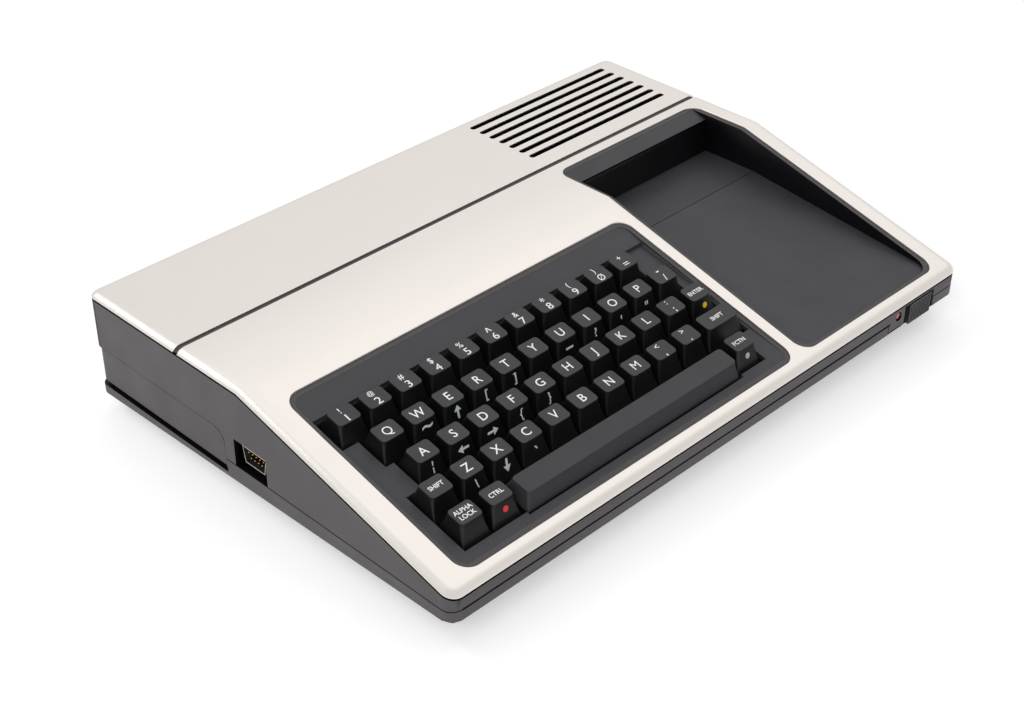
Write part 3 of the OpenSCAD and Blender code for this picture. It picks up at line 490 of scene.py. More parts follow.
def satin_metal(name, colour, roughness):
    """Sheet metal with a satin surface: short fine brush marks and soft clouds."""
    finish, tree, surface = new_finish(name)
    brush = noise(tree, 0.25, 2.0, (0.02, 1.0, 1.0))
    cloud = noise(tree, 60.0, 2.0)
    feed(tree, surface, {
        "Base Color": blend_colours(tree, spread(tree, cloud, 0.0, 0.5),
                                    toned(tree, brush, colour, 0.975, 1.02),
                                    shade(colour, 0.97)),
        "Roughness": spread(tree, brush, roughness - 0.04, roughness + 0.05),
        "Metallic": 1.0,
        "Normal": relief(tree, brush, 0.004, 0.6),
    })
    return finish


def printed_ink(name, colour):
    """Pad-printed ink, a little uneven."""
    finish, tree, surface = new_finish(name)
    fleck = noise(tree, 0.3, 2.0)
    feed(tree, surface, {"Base Color": toned(tree, fleck, colour, 0.93, 1.0),
                         "Roughness": 0.55, "Normal": relief(tree, fleck, 0.003)})
    return finish


def bright_metal(name, colour, roughness):
    """Plated contact or shell metal."""
    finish, tree, surface = new_finish(name)
    cloud = noise(tree, 1.5)
    feed(tree, surface, {
        "Base Color": toned(tree, cloud, colour, 0.86, 1.0),
        "Roughness": spread(tree, cloud, roughness - 0.06, roughness + 0.1),
        "Metallic": 1.0,
        "Normal": relief(tree, cloud, 0.004, 0.5),
    })
    return finish


def circuit_green(name, colour):
    """Solder mask over copper traces that run along the board."""
    finish, tree, surface = new_finish(name)
    traces = noise(tree, 2.2, 1.0, (0.12, 1.0, 1.0))
    feed(tree, surface, {"Base Color": toned(tree, traces, colour, 1.0, 1.9, 0.49, 0.53),
                         "Roughness": 0.3, "Normal": relief(tree, traces, 0.02)})
    return finish


def lamp_plastic(name, colour):
    """Clear red plastic of the power lamp, with a faint glow inside."""
    finish, tree, surface = new_finish(name)
    tone = toned(tree, noise(tree, 1.6, 1.0), colour, 0.6, 1.0)
    feed(tree, surface, {"Base Color": tone, "Emission Color": tone, "Emission Strength": 0.12,
                         "Roughness": 0.12, "Coat Weight": 0.6})
    return finish


# ---- settings


class CaseSettings(bpy.types.PropertyGroup):
    """Finish of the dark mouldings."""
    edge_round: bpy.props.FloatProperty(
        name="Edge round", description="Rounding of the moulded edges",
        default=0.3 * MM, min=0.0, max=1.5 * MM, unit="LENGTH")
    plastic: bpy.props.FloatVectorProperty(
        name="Plastic", description="Colour of the case mouldings",
        default=srgb(70, 66, 68), min=0.0, max=1.0, subtype="COLOR")
    # Recess plastic is darker than the case plastic as painted shade in the key deck and the
    # tray.
    shaded_recess_plastic: bpy.props.FloatVectorProperty(
        name="Recess plastic", description="Colour of the key deck and the tray floor",
        default=srgb(52, 51, 55), min=0.0, max=1.0, subtype="COLOR")
    # Smooth plastic is near-black partly for its smooth surface and partly as painted shade in
    # gaps, grooves, slots and the tray.
    shaded_smooth_plastic: bpy.props.FloatVectorProperty(
        name="Smooth plastic", description="Colour of the smooth walls inside the tray",
        default=srgb(10, 8, 11), min=0.0, max=1.0, subtype="COLOR")
    grain: bpy.props.FloatProperty(
        name="Grain", description="Size of the moulded grain",
        default=0.45 * MM, min=0.1 * MM, max=2 * MM, unit="LENGTH")


class CoverSettings(bpy.types.PropertyGroup):
    """Finish of the bent metal covers."""
    edge_round: bpy.props.FloatProperty(
        name="Edge round", description="Rounding of the cut sheet edges",
        default=0.25 * MM, min=0.0, max=0.45 * MM, unit="LENGTH")
    roll: bpy.props.FloatProperty(
        name="Roll", description="Rounding of the sheet where it turns down at the openings",
        default=0.45 * MM, min=0.1 * MM, max=0.9 * MM, unit="LENGTH")
    metal: bpy.props.FloatVectorProperty(
        name="Metal", description="Colour of the satin sheet metal",
        default=srgb(237, 231, 225), min=0.0, max=1.0, subtype="COLOR")
    roughness: bpy.props.FloatProperty(
        name="Roughness", description="Roughness of the satin surface",
        default=0.38, min=0.05, max=1.0, subtype="FACTOR")


class KeySettings(bpy.types.PropertyGroup):
    """Shape and colours of the key caps."""
    top_width: bpy.props.FloatProperty(
        name="Top width", description="Width of a key top",
        default=13.8 * MM, min=11 * MM, max=14 * MM, unit="LENGTH")
    top_length: bpy.props.FloatProperty(
        name="Top length", description="Length of a key top, front to rear",
        default=10.6 * MM, min=10 * MM, max=11 * MM, unit="LENGTH")
    corner: bpy.props.FloatProperty(
        name="Corner", description="Corner radius of a key top",
        default=2.3 * MM, min=1 * MM, max=4 * MM, unit="LENGTH")
    dish: bpy.props.FloatProperty(
        name="Dish", description="Depth of the hollow across a key top",
        default=0.18 * MM, min=0.0, max=0.5 * MM, unit="LENGTH")
    sign_height: bpy.props.FloatProperty(
        name="Sign height", description="Height of the letters on the key tops",
        default=4.9 * MM, min=2 * MM, max=6 * MM, unit="LENGTH")
    # Key flanks and tops are one plastic: the flanks' near-black is painted shade and the tops'
    # lighter colour painted light, besides their real difference of grain and gloss.
    plastic: bpy.props.FloatVectorProperty(
        name="Plastic", description="Colour of the flanks of the key caps",
        default=srgb(13, 12, 14), min=0.0, max=1.0, subtype="COLOR")
    # Lighter than the flanks as painted light on the key tops.
    lit_top_plastic: bpy.props.FloatVectorProperty(
        name="Top plastic", description="Colour of the finely grained key tops",
        default=srgb(49, 47, 50), min=0.0, max=1.0, subtype="COLOR")
    white_ink: bpy.props.FloatVectorProperty(
        name="White ink", description="Colour of the signs on the key tops",
        default=srgb(252, 251, 250), min=0.0, max=1.0, subtype="COLOR")
    blue_ink: bpy.props.FloatVectorProperty(
        name="Blue ink", description="Colour of the signs on the key fronts",
        default=srgb(208, 220, 224), min=0.0, max=1.0, subtype="COLOR")


class StageSettings(bpy.types.PropertyGroup):
    """Floor, light and camera."""
    floor: bpy.props.FloatVectorProperty(
        name="Floor", description="Colour of the floor",
        default=(0.9, 0.9, 0.9), min=0.0, max=1.0, subtype="COLOR")
    sky: bpy.props.FloatProperty(
        name="Sky", description="Strength of the even light from all round",
        default=0.6, min=0.0, max=2.0)
    lamp: bpy.props.FloatProperty(
        name="Main lamp", description="Power of the large lamp beside the camera",
        default=24.0, min=0.0, max=400.0, unit="POWER")
    top_lamp: bpy.props.FloatProperty(
        name="Top lamp", description="Power of the soft lamp overhead",
        default=6.0, min=0.0, max=400.0, unit="POWER")
    side_lamp: bpy.props.FloatProperty(
        name="Side lamp", description="Power of the small lamp that lights the bent edges",
        default=5.5, min=0.0, max=400.0, unit="POWER")
    lens: bpy.props.FloatProperty(
        name="Lens", description="Focal length of the camera, in millimetres",
        default=63.97, min=20.0, max=200.0)


def case_finishes():
    """Grained plastic of the case, smooth plastic whose near-black is partly painted shade, and
    recess plastic darkened as painted shade.
    """
    case = bpy.context.scene.computer_case
    return [
        moulded_plastic("case_grained_plastic", case.plastic, grain_mm=case.grain / MM,
                        mottle=0.18),
        moulded_plastic("case_smooth_plastic", case.shaded_smooth_plastic, grain_mm=1.2,
                        grain_depth=0.004, roughness=0.42, mottle=0.05, specular=0.18),
        moulded_plastic("case_recess_plastic", case.shaded_recess_plastic, grain_mm=case.grain / MM,
                        grain_depth=0.05, mottle=0.28),
    ]


# ---- covers and case


def case_outline(inset, y0=FRONT_Y, y1=REAR_Y, corner_steps=8):
    """Outline of the case between two depths, drawn in by the inset."""
    least_r = 0.8
    return rounded_outline(
        -HALF_W + inset, HALF_W - inset, y0 + inset, y1 - inset,
        max(FRONT_CORNER_R - inset, least_r), max(REAR_CORNER_R - inset, least_r), corner_steps)


def bent_panel(n, y0, y1, place):
    """One panel of the metal top with its bent edges, n inside the outer face."""
    turns = [BEND_ANGLE * k / BEND_STEPS for k in range(BEND_STEPS, -1, -1)]
    sizes = [(BEND_W - (BEND_R - n) * math.sin(turns[0]), PANEL_DEPTH)]
    sizes += [(BEND_W - (BEND_R - n) * math.sin(t), BEND_R - (BEND_R - n) * math.cos(t))
              for t in turns]
    rings = [at_height(case_outline(inset, y0, y1, corner_steps=10), -drop)
             for inset, drop in sizes]
    piece = add_piece("panel", *ring_solid(rings))
    piece.data.transform(place)
    return piece


def top_form(n):
    """The level and the sloping panel where they meet, n inside the outer face."""
    level = bent_panel(n, FRONT_Y - PANEL_OVERLAP, REAR_Y, Matrix.Translation((0, 0, BODY_H)))
    place = Matrix.Translation((0, BREAK_Y, BODY_H)) @ Matrix.Rotation(SLOPE, 4, "X")
    front = -(BREAK_Y - FRONT_Y + BEND_H * math.sin(SLOPE)) / math.cos(SLOPE)
    rear = (REAR_Y - BREAK_Y + PANEL_OVERLAP) / math.cos(SLOPE)
    return combine(level, "INTERSECT", bent_panel(n, front, rear, place))


def under_edges(n):
    """Everything below the covers' bent edges, n under the outer face."""
    front, rear = FRONT_Y - PAST, REAR_Y + PAST
    return side_prism([
        (front, -PAST), (rear, -PAST), (rear, BODY_H - n),
        (BREAK_Y + n * math.tan(SLOPE / 2), BODY_H - n),
        (front, BODY_H - (BREAK_Y - front) * math.tan(SLOPE) - n / math.cos(SLOPE)),
    ], -BODY_W, BODY_W)


def within(place, outline, margin=0.0):
    """Whether a place lies inside an outline (x0, x1, y0, y1) that is grown by the margin."""
    x0, x1, y0, y1 = outline
    return x0 - margin < place.x < x1 + margin and y0 - margin < place.y < y1 + margin


def near_opening(edge):
    """Whether an edge runs along the keyboard opening or the tray opening."""
    return any(all(within(v.co, opening, OPENING_MARGIN) for v in edge.verts)
               for opening in OPENINGS)


def rolled_edge(edge):
    """Whether an edge is the upper edge of an opening."""
    return near_opening(edge) and max(f.normal.z for f in edge.link_faces) > 0.9


def metal_cover(name, finish, *cutters):
    """The bent sheet, cut to one of the two covers."""
    covers = bpy.context.scene.computer_covers
    piece = top_form(0.0)
    piece.name = name
    combine(piece, "DIFFERENCE", top_form(SHEET_T), under_edges(BEND_H - EDGE_CUT), *cutters)
    least = {"least_angle": 50, "least_length": 0.3}
    if name == "front_cover_sheet":
        round_edges(piece, covers.roll / MM, steps=5, choose=rolled_edge, weld=0.35, **least)
    round_edges(piece, covers.edge_round / MM, choose=lambda edge: not near_opening(edge),
                weld=0.12, **least)
    settle(piece, "case", finish, [name.replace("_sheet", "")], sharp_angle=55)


class COMPUTER_OT_metal_covers(bpy.types.Operator):
    """Bends the two metal covers and cuts their openings and vents"""
    bl_idname = "computer.metal_covers"
    bl_label = "Metal covers"

    def execute(self, context):
        covers = context.scene.computer_covers
        finish = satin_metal("satin_cover_metal", covers.metal, covers.roughness)
        openings = [prism_piece(rounded_outline(*opening, OPENING_R, OPENING_R, 14),
                                *CUTTER_Z) for opening in OPENINGS]
        heights = -5, BODY_H + PAST
        behind = box_piece(-BODY_W, BODY_W, SPLIT_Y, REAR_Y + PAST, *heights)
        metal_cover("front_cover_sheet", finish, behind, *openings)
        before = box_piece(-BODY_W, BODY_W, FRONT_Y - PAST, SPLIT_Y + SPLIT_GAP, *heights)
        slots = []
        for i in range(VENT_COUNT):
            y = VENT_Y + i * VENT_PITCH
            r = VENT_W / 2 - 0.05
            slots.append(prism_piece(rounded_outline(
                VENT_X - VENT_LEN / 2, VENT_X + VENT_LEN / 2, y - VENT_W / 2, y + VENT_W / 2,
                r, r, 8), BODY_H - PAST, BODY_H + 10))
        metal_cover("rear_cover_sheet", finish, before, *slots)
        return {"FINISHED"}


# Numbers of the case finishes; the smooth and the recess finish carry painted shade
GRAINED, SHADED_SMOOTH, SHADED_RECESS = range(3)


def inside_wall(centre, depth):
    """Whether a place lies that deep behind the outer faces of the case."""
    corner_r = FRONT_CORNER_R if centre.y < 0 else REAR_CORNER_R
    past_x = abs(centre.x) - (HALF_W - corner_r)
    past_y = max(FRONT_Y + corner_r - centre.y, centre.y - (REAR_Y - corner_r))
    if past_x > 0 and past_y > 0:
        return math.hypot(past_x, past_y) < corner_r - depth
    return max(past_x, past_y) < corner_r - depth


def lower_rule(centre, normal):
    """Smooth near-black plastic on the ledge and the tongue inside the parting gap, as painted
    shade in the gap.
    """
    in_gap_shade = normal.z > -0.5 and inside_wall(centre, 1.2)
    return SHADED_SMOOTH if centre.z > LEDGE_FOOT and (normal.z > 0.9 or in_gap_shade) else GRAINED


def upper_rule(centre, normal):
    """Recess plastic, darkened as painted shade, in both recesses; smooth plastic, its
    near-black partly painted shade, in gaps and grooves and on walls of tray, vents and notch.
    """
    x, y, z = centre
    upright = abs(normal.z) < 0.5
    cover_edge = min(BODY_H, BODY_H - (BREAK_Y - y) * math.tan(SLOPE)) - BEND_H
    x0, x1, y0, _ = TRAY_OPENING
    in_tray = x0 < x < x1 and y0 < y < SLOT_Y + SLOT_DEPTH
    smooth_and_shaded_places = (
        # parting gap, line round the sunk panel, gap under the covers: near-black as painted
        # shade
        z < PARTING_Z + 1 and (normal.z < -0.9 or inside_wall(centre, 0.9)),
        SIDE_FACE_X + 0.1 < x < SIDE_FACE_X + 0.9 and y > SUNK_Y - 1 and z > SUNK_FOOT,
        abs(z - cover_edge) < 1.5 and not inside_wall(centre, EDGE_GROOVE + 0.1),
        # walls of the notch, the vents and the tray, with the crease in its floor: near-black,
        # partly the smooth surface and partly painted shade
        abs(y - JOY_Y) < NOTCH_HALF_W and x < -HALF_W + NOTCH_DEPTH and z < NOTCH_TOP
        and abs(normal.x) < 0.5,
        abs(x - VENT_X) < VENT_LEN / 2 + 2 and y > VENT_Y - 4 and z > 60 and upright
        and inside_wall(centre, 4),
        in_tray and y > y0 + RIM_W / 2 and upright and 30 < z < BODY_H - 3,
    )
    if any(smooth_and_shaded_places):
        return SHADED_SMOOTH
    # the floor under the lip and the faces inside the openings get the recess plastic, darkened
    # as painted shade
    under_lip = in_tray and RECESS_FOOT < z < BODY_H - 8
    in_opening = z > RECESS_FOOT and any(within(centre, opening) for opening in OPENINGS)
    return SHADED_RECESS if under_lip or in_opening else GRAINED


def edge_groove():
    """Thin gap in the case all round, right below the bent edges of the covers, painted
    near-black by upper_rule as its shade.
    """
    return combine(under_edges(BEND_H - 0.3), "DIFFERENCE", under_edges(BEND_H + 1.3),
                   prism_piece(case_outline(EDGE_GROOVE), -10, CUTTER_Z[1]))


def sunk_outline(grow):
    """Outline of the sunk panel in the left side, seen from the side."""
    r = SUNK_R + grow
    arc = [(SUNK_Y + SUNK_R + r * math.cos(math.radians(a)),
            SUNK_TOP - SUNK_R + r * math.sin(math.radians(a))) for a in range(90, 181, 10)]
    rear = REAR_Y + PAST
    return [(SUNK_Y - grow, 0), (rear, 0), (rear, SUNK_TOP + grow)] + arc


def sunk_line():
    """Fine groove along the edge of the sunk panel, painted near-black by upper_rule as its
    shade.
    """
    line = side_prism(sunk_outline(SUNK_LINE_H), SIDE_FACE_X - 2, SIDE_FACE_X + SUNK_LINE_DEPTH)
    return combine(line, "DIFFERENCE",
                   side_prism(sunk_outline(0.0), SIDE_FACE_X - 3, SIDE_FACE_X + 3))


def dress_node(node, name, finishes, slot, width=0.12, least_length=1.2, room=0.0,
               cutters=(), rule=None, body="case"):
    """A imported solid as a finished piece: rounded by width, cut, and painted by a rule."""
    piece = copy_of_node(node, name)
    if width:
        round_edges(piece, width, least_length=least_length, room=room)
    if cutters:
        combine(piece, "DIFFERENCE", *cutters)
    if rule:
        paint_faces(piece, rule)
    settle(piece, body, finishes, [node])


def parting_groove():
    """Straight groove along the parting line in the front, painted near-black by upper_rule as
    its shade.
    """
    return box_piece(*GROOVE_X, FRONT_Y - 1, FRONT_Y + GROOVE_DEPTH,
                     PARTING_Z - GROOVE_HALF_H, PARTING_Z + GROOVE_HALF_H)


def floor_crease():
    """Fine crease across the floor of the tray, its walls painted near-black by upper_rule as
    its shade.
    """
    gap = RIM_W + 0.1
    return box_piece(TRAY_OPENING[0] + gap, TRAY_OPENING[1] - gap,
                     CREASE_Y - CREASE_HALF_W, CREASE_Y + CREASE_HALF_W,
                     FLOOR_Z - CREASE_DEPTH, FLOOR_Z + 1)


class COMPUTER_OT_case_mouldings(bpy.types.Operator):
    """Rounds and grains the upper and lower case, the slot door and the port door, and paints
    shade into the gaps, grooves and recesses of the case
    """
    bl_idname = "computer.case_mouldings"
    bl_label = "Case mouldings"

    def execute(self, context):
        finishes = case_finishes()
        rounding = {"width": context.scene.computer_case.edge_round / MM, "room": 2.1}
        for node, cutters, rule in (
                ("top_case", [parting_groove(), floor_crease(), sunk_line(), edge_groove()],
                 upper_rule),
                ("bottom_case", [parting_groove()], lower_rule)):
            dress_node(node, node + "_moulding", finishes, "case_plastic",
                       cutters=cutters, rule=rule, **rounding)
        # The slot door gets the near-black smooth plastic, which also stands as painted shade
        # inside the slot.
        for node, finish in (("cartridge_door", SHADED_SMOOTH), ("port_door", GRAINED)):
            dress_node(node, node + "_flap", finishes[finish], "case_plastic",
                       body=node, **rounding)
        return {"FINISHED"}


# ---- key caps


def key_shape(key):
    """Half the added width, half lengths of base and top, and the offsets of a key."""
    added = (key.width - 1) * KEY_PITCH / 2
    if key.width > 2:
        return added, BAR_BASE_L / 2, BAR_TOP_L / 2, -BAR_SHIFT, BAR_LEAN
    half_top = bpy.context.scene.computer_keys.top_length / MM / 2
    return added, KEY_BASE / 2, half_top, 0.0, KEY_LEAN


def flank(key, share):
    """Half width, half length, middle and corner radius of a key at a share of its height."""
    settings = bpy.context.scene.computer_keys
    added, half_base, half_top, shift, lean = key_shape(key)
    flare = (1 - share) ** 1.55
    top_w = settings.top_width / MM / 2
    half_w = top_w + (KEY_BASE / 2 - top_w) * flare
    half_l = half_top + (half_base - half_top) * flare
    corner = 0.9 + (settings.corner / MM - 0.9) * share ** 2
    return half_w + added, half_l, shift + lean * share ** 0.64, corner


def key_place(key):
    """Where the middle of a key's top stands in the case."""
    return KEY_PLACE @ Matrix.Translation((key.column * KEY_PITCH, -key.row * ROW_PITCH, 0))


def key_dish(key, x):
    """How far the key top lies under its plane at x, hollow across the key."""
    half = flank(key, 1.0)[0]
    return bpy.context.scene.computer_keys.dish / MM * max(0.0, 1 - (x / half) ** 2)


def key_rings(key):
    """Rings of a hollow key cap with its stem, from the foot of the stem to the top."""
    def ring(half_w, half_l, middle, r, z, dished=0.0):
        outline = rounded_outline(-half_w, half_w, middle - half_l, middle + half_l, r, r, 6, 6)
        return np.column_stack([outline, [z - dished * key_dish(key, x) for x, _ in outline]])

    stem = STEM_W / 2
    ceiling = -KEY_WALL - 0.4
    inner_r = 0.3
    rings = [ring(stem - 0.3, stem - 0.3, 0, inner_r, STEM_END),
             ring(stem, stem, 0, inner_r, STEM_END + 0.5),
             ring(stem, stem, 0, inner_r, ceiling)]
    for share in (0.85, 0.45, 0.0):
        w, l, m, r = flank(key, share)
        z = ceiling if share == 0.85 else -KEY_H * (1 - share)
        rings.append(ring(w - KEY_WALL, l - KEY_WALL, m, inner_r, z))
    rings.append(ring(w - 0.1, l - 0.1, m, r, -KEY_H))
    for share in (0.012, 0.08, 0.16, 0.25, 0.35, 0.45, 0.55, 0.65, 0.75, 0.84, 0.91):
        rings.append(ring(*flank(key, share), -KEY_H * (1 - share), max(0.0, share - 0.75) * 3))
    w, l, m, r = flank(key, 1 - TOP_ROUND / KEY_H)
    for turn in (0, 22, 45, 68, 90):
        inset = TOP_ROUND * (1 - math.cos(math.radians(turn)))
        z = -TOP_ROUND * (1 - math.sin(math.radians(turn)))
        rings.append(ring(w - inset, l - inset, m, r - inset, z, 0.9 + turn / 900))
    for share in (0.88, 0.68, 0.42, 0.16):
        rings.append(ring(w * share, l * share, m, r * share, 0.0, 1.0))
    return rings


class COMPUTER_OT_key_caps(bpy.types.Operator):
    """Sculpts the 48 hollow key caps with their stems"""
    bl_idname = "computer.key_caps"
    bl_label = "Key caps"

    def execute(self, context):
        settings = context.scene.computer_keys
        # Flank and top plastic: a shaded and a lit copy of one plastic, which also differ in
        # grain and gloss.
        shaded_and_lit_plastics = [
            moulded_plastic("key_cap_plastic", settings.plastic, grain_mm=0.3,
                            grain_depth=0.004, roughness=0.36, mottle=0.06, specular=0.4),
            moulded_plastic("key_top_plastic", settings.lit_top_plastic, grain_mm=0.3,
                            grain_depth=0.012, roughness=0.5, mottle=0.08),
        ]
        for key in KEYS:
            piece = add_piece("cap_" + key.name, *ring_solid(key_rings(key)))
            bar = key.width > 2
            if bar:
                offset = key.width * KEY_PITCH / 3
                half = STEM_W / 2
                for x in (-offset, offset):
                    combine(piece, "UNION", box_piece(x - half, x + half, -half, half,
                                                      STEM_END, -KEY_WALL - 0.1))
            # Key tops, and on the space bar all faces above its foot that do not face down, get
            # the lighter top plastic as painted light.
            depth, facing = (9.0, -0.1) if bar else (0.5, 0.9)
            paint_faces(piece, lambda c, n: int(c.z > -depth and n.z > facing))
            piece.data.transform(key_place(key))
            node = "key_" + key.name
            settle(piece, node, shaded_and_lit_plastics, [node], sharp_angle=48)
        return {"FINISHED"}


# ---- signs on the keys

# Height of a capital as a share of the font's size
CAP_SHARE = 0.7
# Signs on the key tops: shares of the sign height, stretch across, places of two lines
UPPER_SHARE = 0.72
LOWER_SHARE = 0.88
LOWER_STRETCH = 1.2
SLASHED_STRETCH = 0.78
UPPER_LINE = (-0.4, 2.9)
LOWER_LINE = (0.1, -2.3)
WORD_H = 2.45
WORD_PITCH = 3.5
# Signs on the key fronts: sizes, and places across and under the key top
FRONT_SIGN_H = 4.6
FRONT_SIGN_PLACE = (0.8, -5.1)
TILDE_PLACE = (0.8, -3.9)
ARROW_L = 6.9
ARROW_PLACE = (0.9, -5.0)
UNDERLINE = (5.0, 1.1)
UNDERLINE_PLACE = (0.8, -5.4)
DOT_R = 1.6
ARROWS = {"right": 0, "up": 90, "left": 180, "down": 270}


def flat_arrow(turn, size):
    """Points and faces of an arrow that points along a turn."""
    outline = np.array([(-0.5, -0.09), (0.05, -0.09), (0.05, -0.32), (0.5, 0.0),
                        (0.05, 0.32), (0.05, 0.09), (-0.5, 0.09)]) * size
    a = math.radians(turn)
    spin = np.array([[math.cos(a), -math.sin(a)], [math.sin(a), math.cos(a)]])
    return outline @ spin.T, [[0, 1, 5, 6], [1, 2, 3], [1, 3, 5], [5, 3, 4]]


def flat_bar(length, height):
    return np.array([(-length, -height), (length, -height), (length, height),
                     (-length, height)]) / 2, [[0, 1, 2, 3]]


def flat_dot(radius, steps=24):
    turns = np.arange(steps) * 2 * math.pi / steps
    return np.stack([np.cos(turns), np.sin(turns)], axis=1) * radius, [list(range(steps))]


def flat_text(text, height, squeeze=1.0, weight=0.0, middle=False):
    """Points and faces of a line of text with capitals of that height.

    It is centred on its capitals, or with middle on its own outline.
    """
    curve = bpy.data.curves.new("sign", "FONT")
    curve.body = text
    curve.size = height / CAP_SHARE
    curve.align_x = "CENTER"
    curve.resolution_u = 4
    curve.offset = 0.0 if text in FINE_SIGNS else weight
    holder = bpy.data.objects.new("sign", curve)
    mesh = bpy.data.meshes.new_from_object(holder)
    points = np.array([(v.co.x * squeeze, v.co.y - height / 2) for v in mesh.vertices])
    faces = [list(p.vertices) for p in mesh.polygons]
    bpy.data.objects.remove(holder)
    bpy.data.curves.remove(curve)
    bpy.data.meshes.remove(mesh)
    if len(points) == 0:
        raise RuntimeError(f"the font draws nothing for {text!r}")
    if middle:
        points -= (points.min(axis=0) + points.max(axis=0)) / 2
    return points, faces


def printed_solid(points, faces, surface_at, thick=0.05, sunk=0.06):
    """A thin closed solid of a flat sign, laid on a surface given by surface_at(u, v)."""
    n = len(points)
    upper, lower = [], []
    for u, v in points:
        place, normal = surface_at(u, v)
        upper.append(place + normal * thick)
        lower.append(place - normal * sunk)
    area = 0.0
    for face in faces:
        q = points[face]
        area += np.sum(q[:, 0] * np.roll(q[:, 1], -1) - q[:, 1] * np.roll(q[:, 0], -1))
    if area < 0:
        faces = [f[::-1] for f in faces]
    edges = dict.fromkeys(e for face in faces for e in zip(face, face[1:] + face[:1]))
    sides = [[b, a, a + n, b + n] for a, b in edges if (b, a) not in edges]
    solid = [list(f) for f in faces] + [[i + n for i in f[::-1]] for f in faces] + sides
    return np.array(upper + lower), solid


def on_key_top(key, dx, dy):
    """Gives where a point of a sign lies on the top of a key, and which way is out."""
    middle = flank(key, 1.0)[2]

    def place(u, v):
        x = u + dx
        return np.array([x, middle + (v + dy), -key_dish(key, x)]), np.array([0.0, 0.0, 1.0])
    return place


def on_key_front(key, dx, height):
    """Gives where a point of a sign lies on the front of a key, and which way is out."""
    def slope_y(z):
        _, half_l, middle, _ = flank(key, 1 + z / KEY_H)
        return middle - half_l

    def place(u, v):
        rise = 0.4
        lean = slope_y(height + rise / 2) - slope_y(height - rise / 2)
        z = height + v * rise / math.hypot(rise, lean)
        rise = 0.1
        dy = (slope_y(z + rise / 2) - slope_y(z - rise / 2)) / rise
        normal = np.array([0.0, -1.0, dy]) / math.hypot(1.0, dy)
        return np.array([u + dx, slope_y(z), z]), normal
    return place


def key_signs(key):
    """The signs of a key: points and faces, where they lie, and the number of their ink."""
    name = key.name
    height = bpy.context.scene.computer_keys.sign_height / MM
    white, blue, dot = range(3)
    signs = []

    def on_top(text, size, stretch, weight, place=(0, 0), middle=False):
        flat = flat_text(text, size, stretch, weight, middle)
        signs.append((flat, on_key_top(key, *place), white))

    def on_front(flat, place, ink=blue):
        signs.append((flat, on_key_front(key, *place), ink))

    if name in TWO_SIGNS:
        upper, lower = TWO_SIGNS[name]
        size = height * UPPER_SIZES.get(upper, UPPER_SHARE)
        on_top(upper, size, 1.0, 0.03, UPPER_LINE, True)
        stretch = LOWER_STRETCH * (SLASHED_STRETCH if lower == "Ø" else 1.0)
        on_top(lower, height * LOWER_SHARE, stretch, 0.02, LOWER_LINE, lower in "/=")
    elif name in WORDS:
        lines = WORDS[name]
        for i, word in enumerate(lines):
            dy = (len(lines) - 1) * WORD_PITCH / 2 - i * WORD_PITCH
            on_top(word, WORD_H, 1.0, 0.06, (0, dy))
    elif len(name) == 1:
        on_top(name.upper(), height, 1.0, 0.04)
    sign = FRONT_SIGNS.get(name)
    if sign in ARROWS:
        on_front(flat_arrow(ARROWS[sign], ARROW_L), ARROW_PLACE)
    elif sign == "_":
        on_front(flat_bar(*UNDERLINE), UNDERLINE_PLACE)
    elif sign:
        on_front(flat_text(sign, FRONT_SIZES.get(sign, FRONT_SIGN_H), 1.0, 0.1, True),
                 TILDE_PLACE if sign == "~" else FRONT_SIGN_PLACE)
    if name in DOTS:
        on_front(flat_dot(DOT_R), (1.5 if name == "enter" else 0.6, -4.8), dot)
    return signs


class COMPUTER_OT_key_signs(bpy.types.Operator):
    """Prints the letters, figures and signs on the key caps"""
    bl_idname = "computer.key_signs"
    bl_label = "Key signs"

    def execute(self, context):
        settings = context.scene.computer_keys
        white = printed_ink("white_key_ink", settings.white_ink)
        blue = printed_ink("blue_key_ink", settings.blue_ink)
        dots = {
            "red_dot": printed_ink("red_dot_ink", srgb(235, 62, 52)),
            "pale_dot": printed_ink("pale_dot_ink", srgb(185, 188, 195)),
            "yellow_dot": printed_ink("yellow_dot_ink", srgb(255, 214, 10)),
        }
        for key in KEYS:
            signs = key_signs(key)
            if not signs:
                continue
            solids = [printed_solid(*flat, place) for flat, place, _ in signs]
            piece = add_piece("signs_" + key.name, *joined(solids))
            inks = np.repeat([ink for _, _, ink in signs], [len(faces) for _, faces in solids])
            piece.data.polygons.foreach_set("material_index", inks.astype(np.int32))
            piece.data.transform(key_place(key))
            finishes = [white, blue, dots.get(DOTS.get(key.name), white)]
            settle(piece, "key_" + key.name, finishes, weighted=False)
        return {"FINISHED"}


# ---- switch and boards


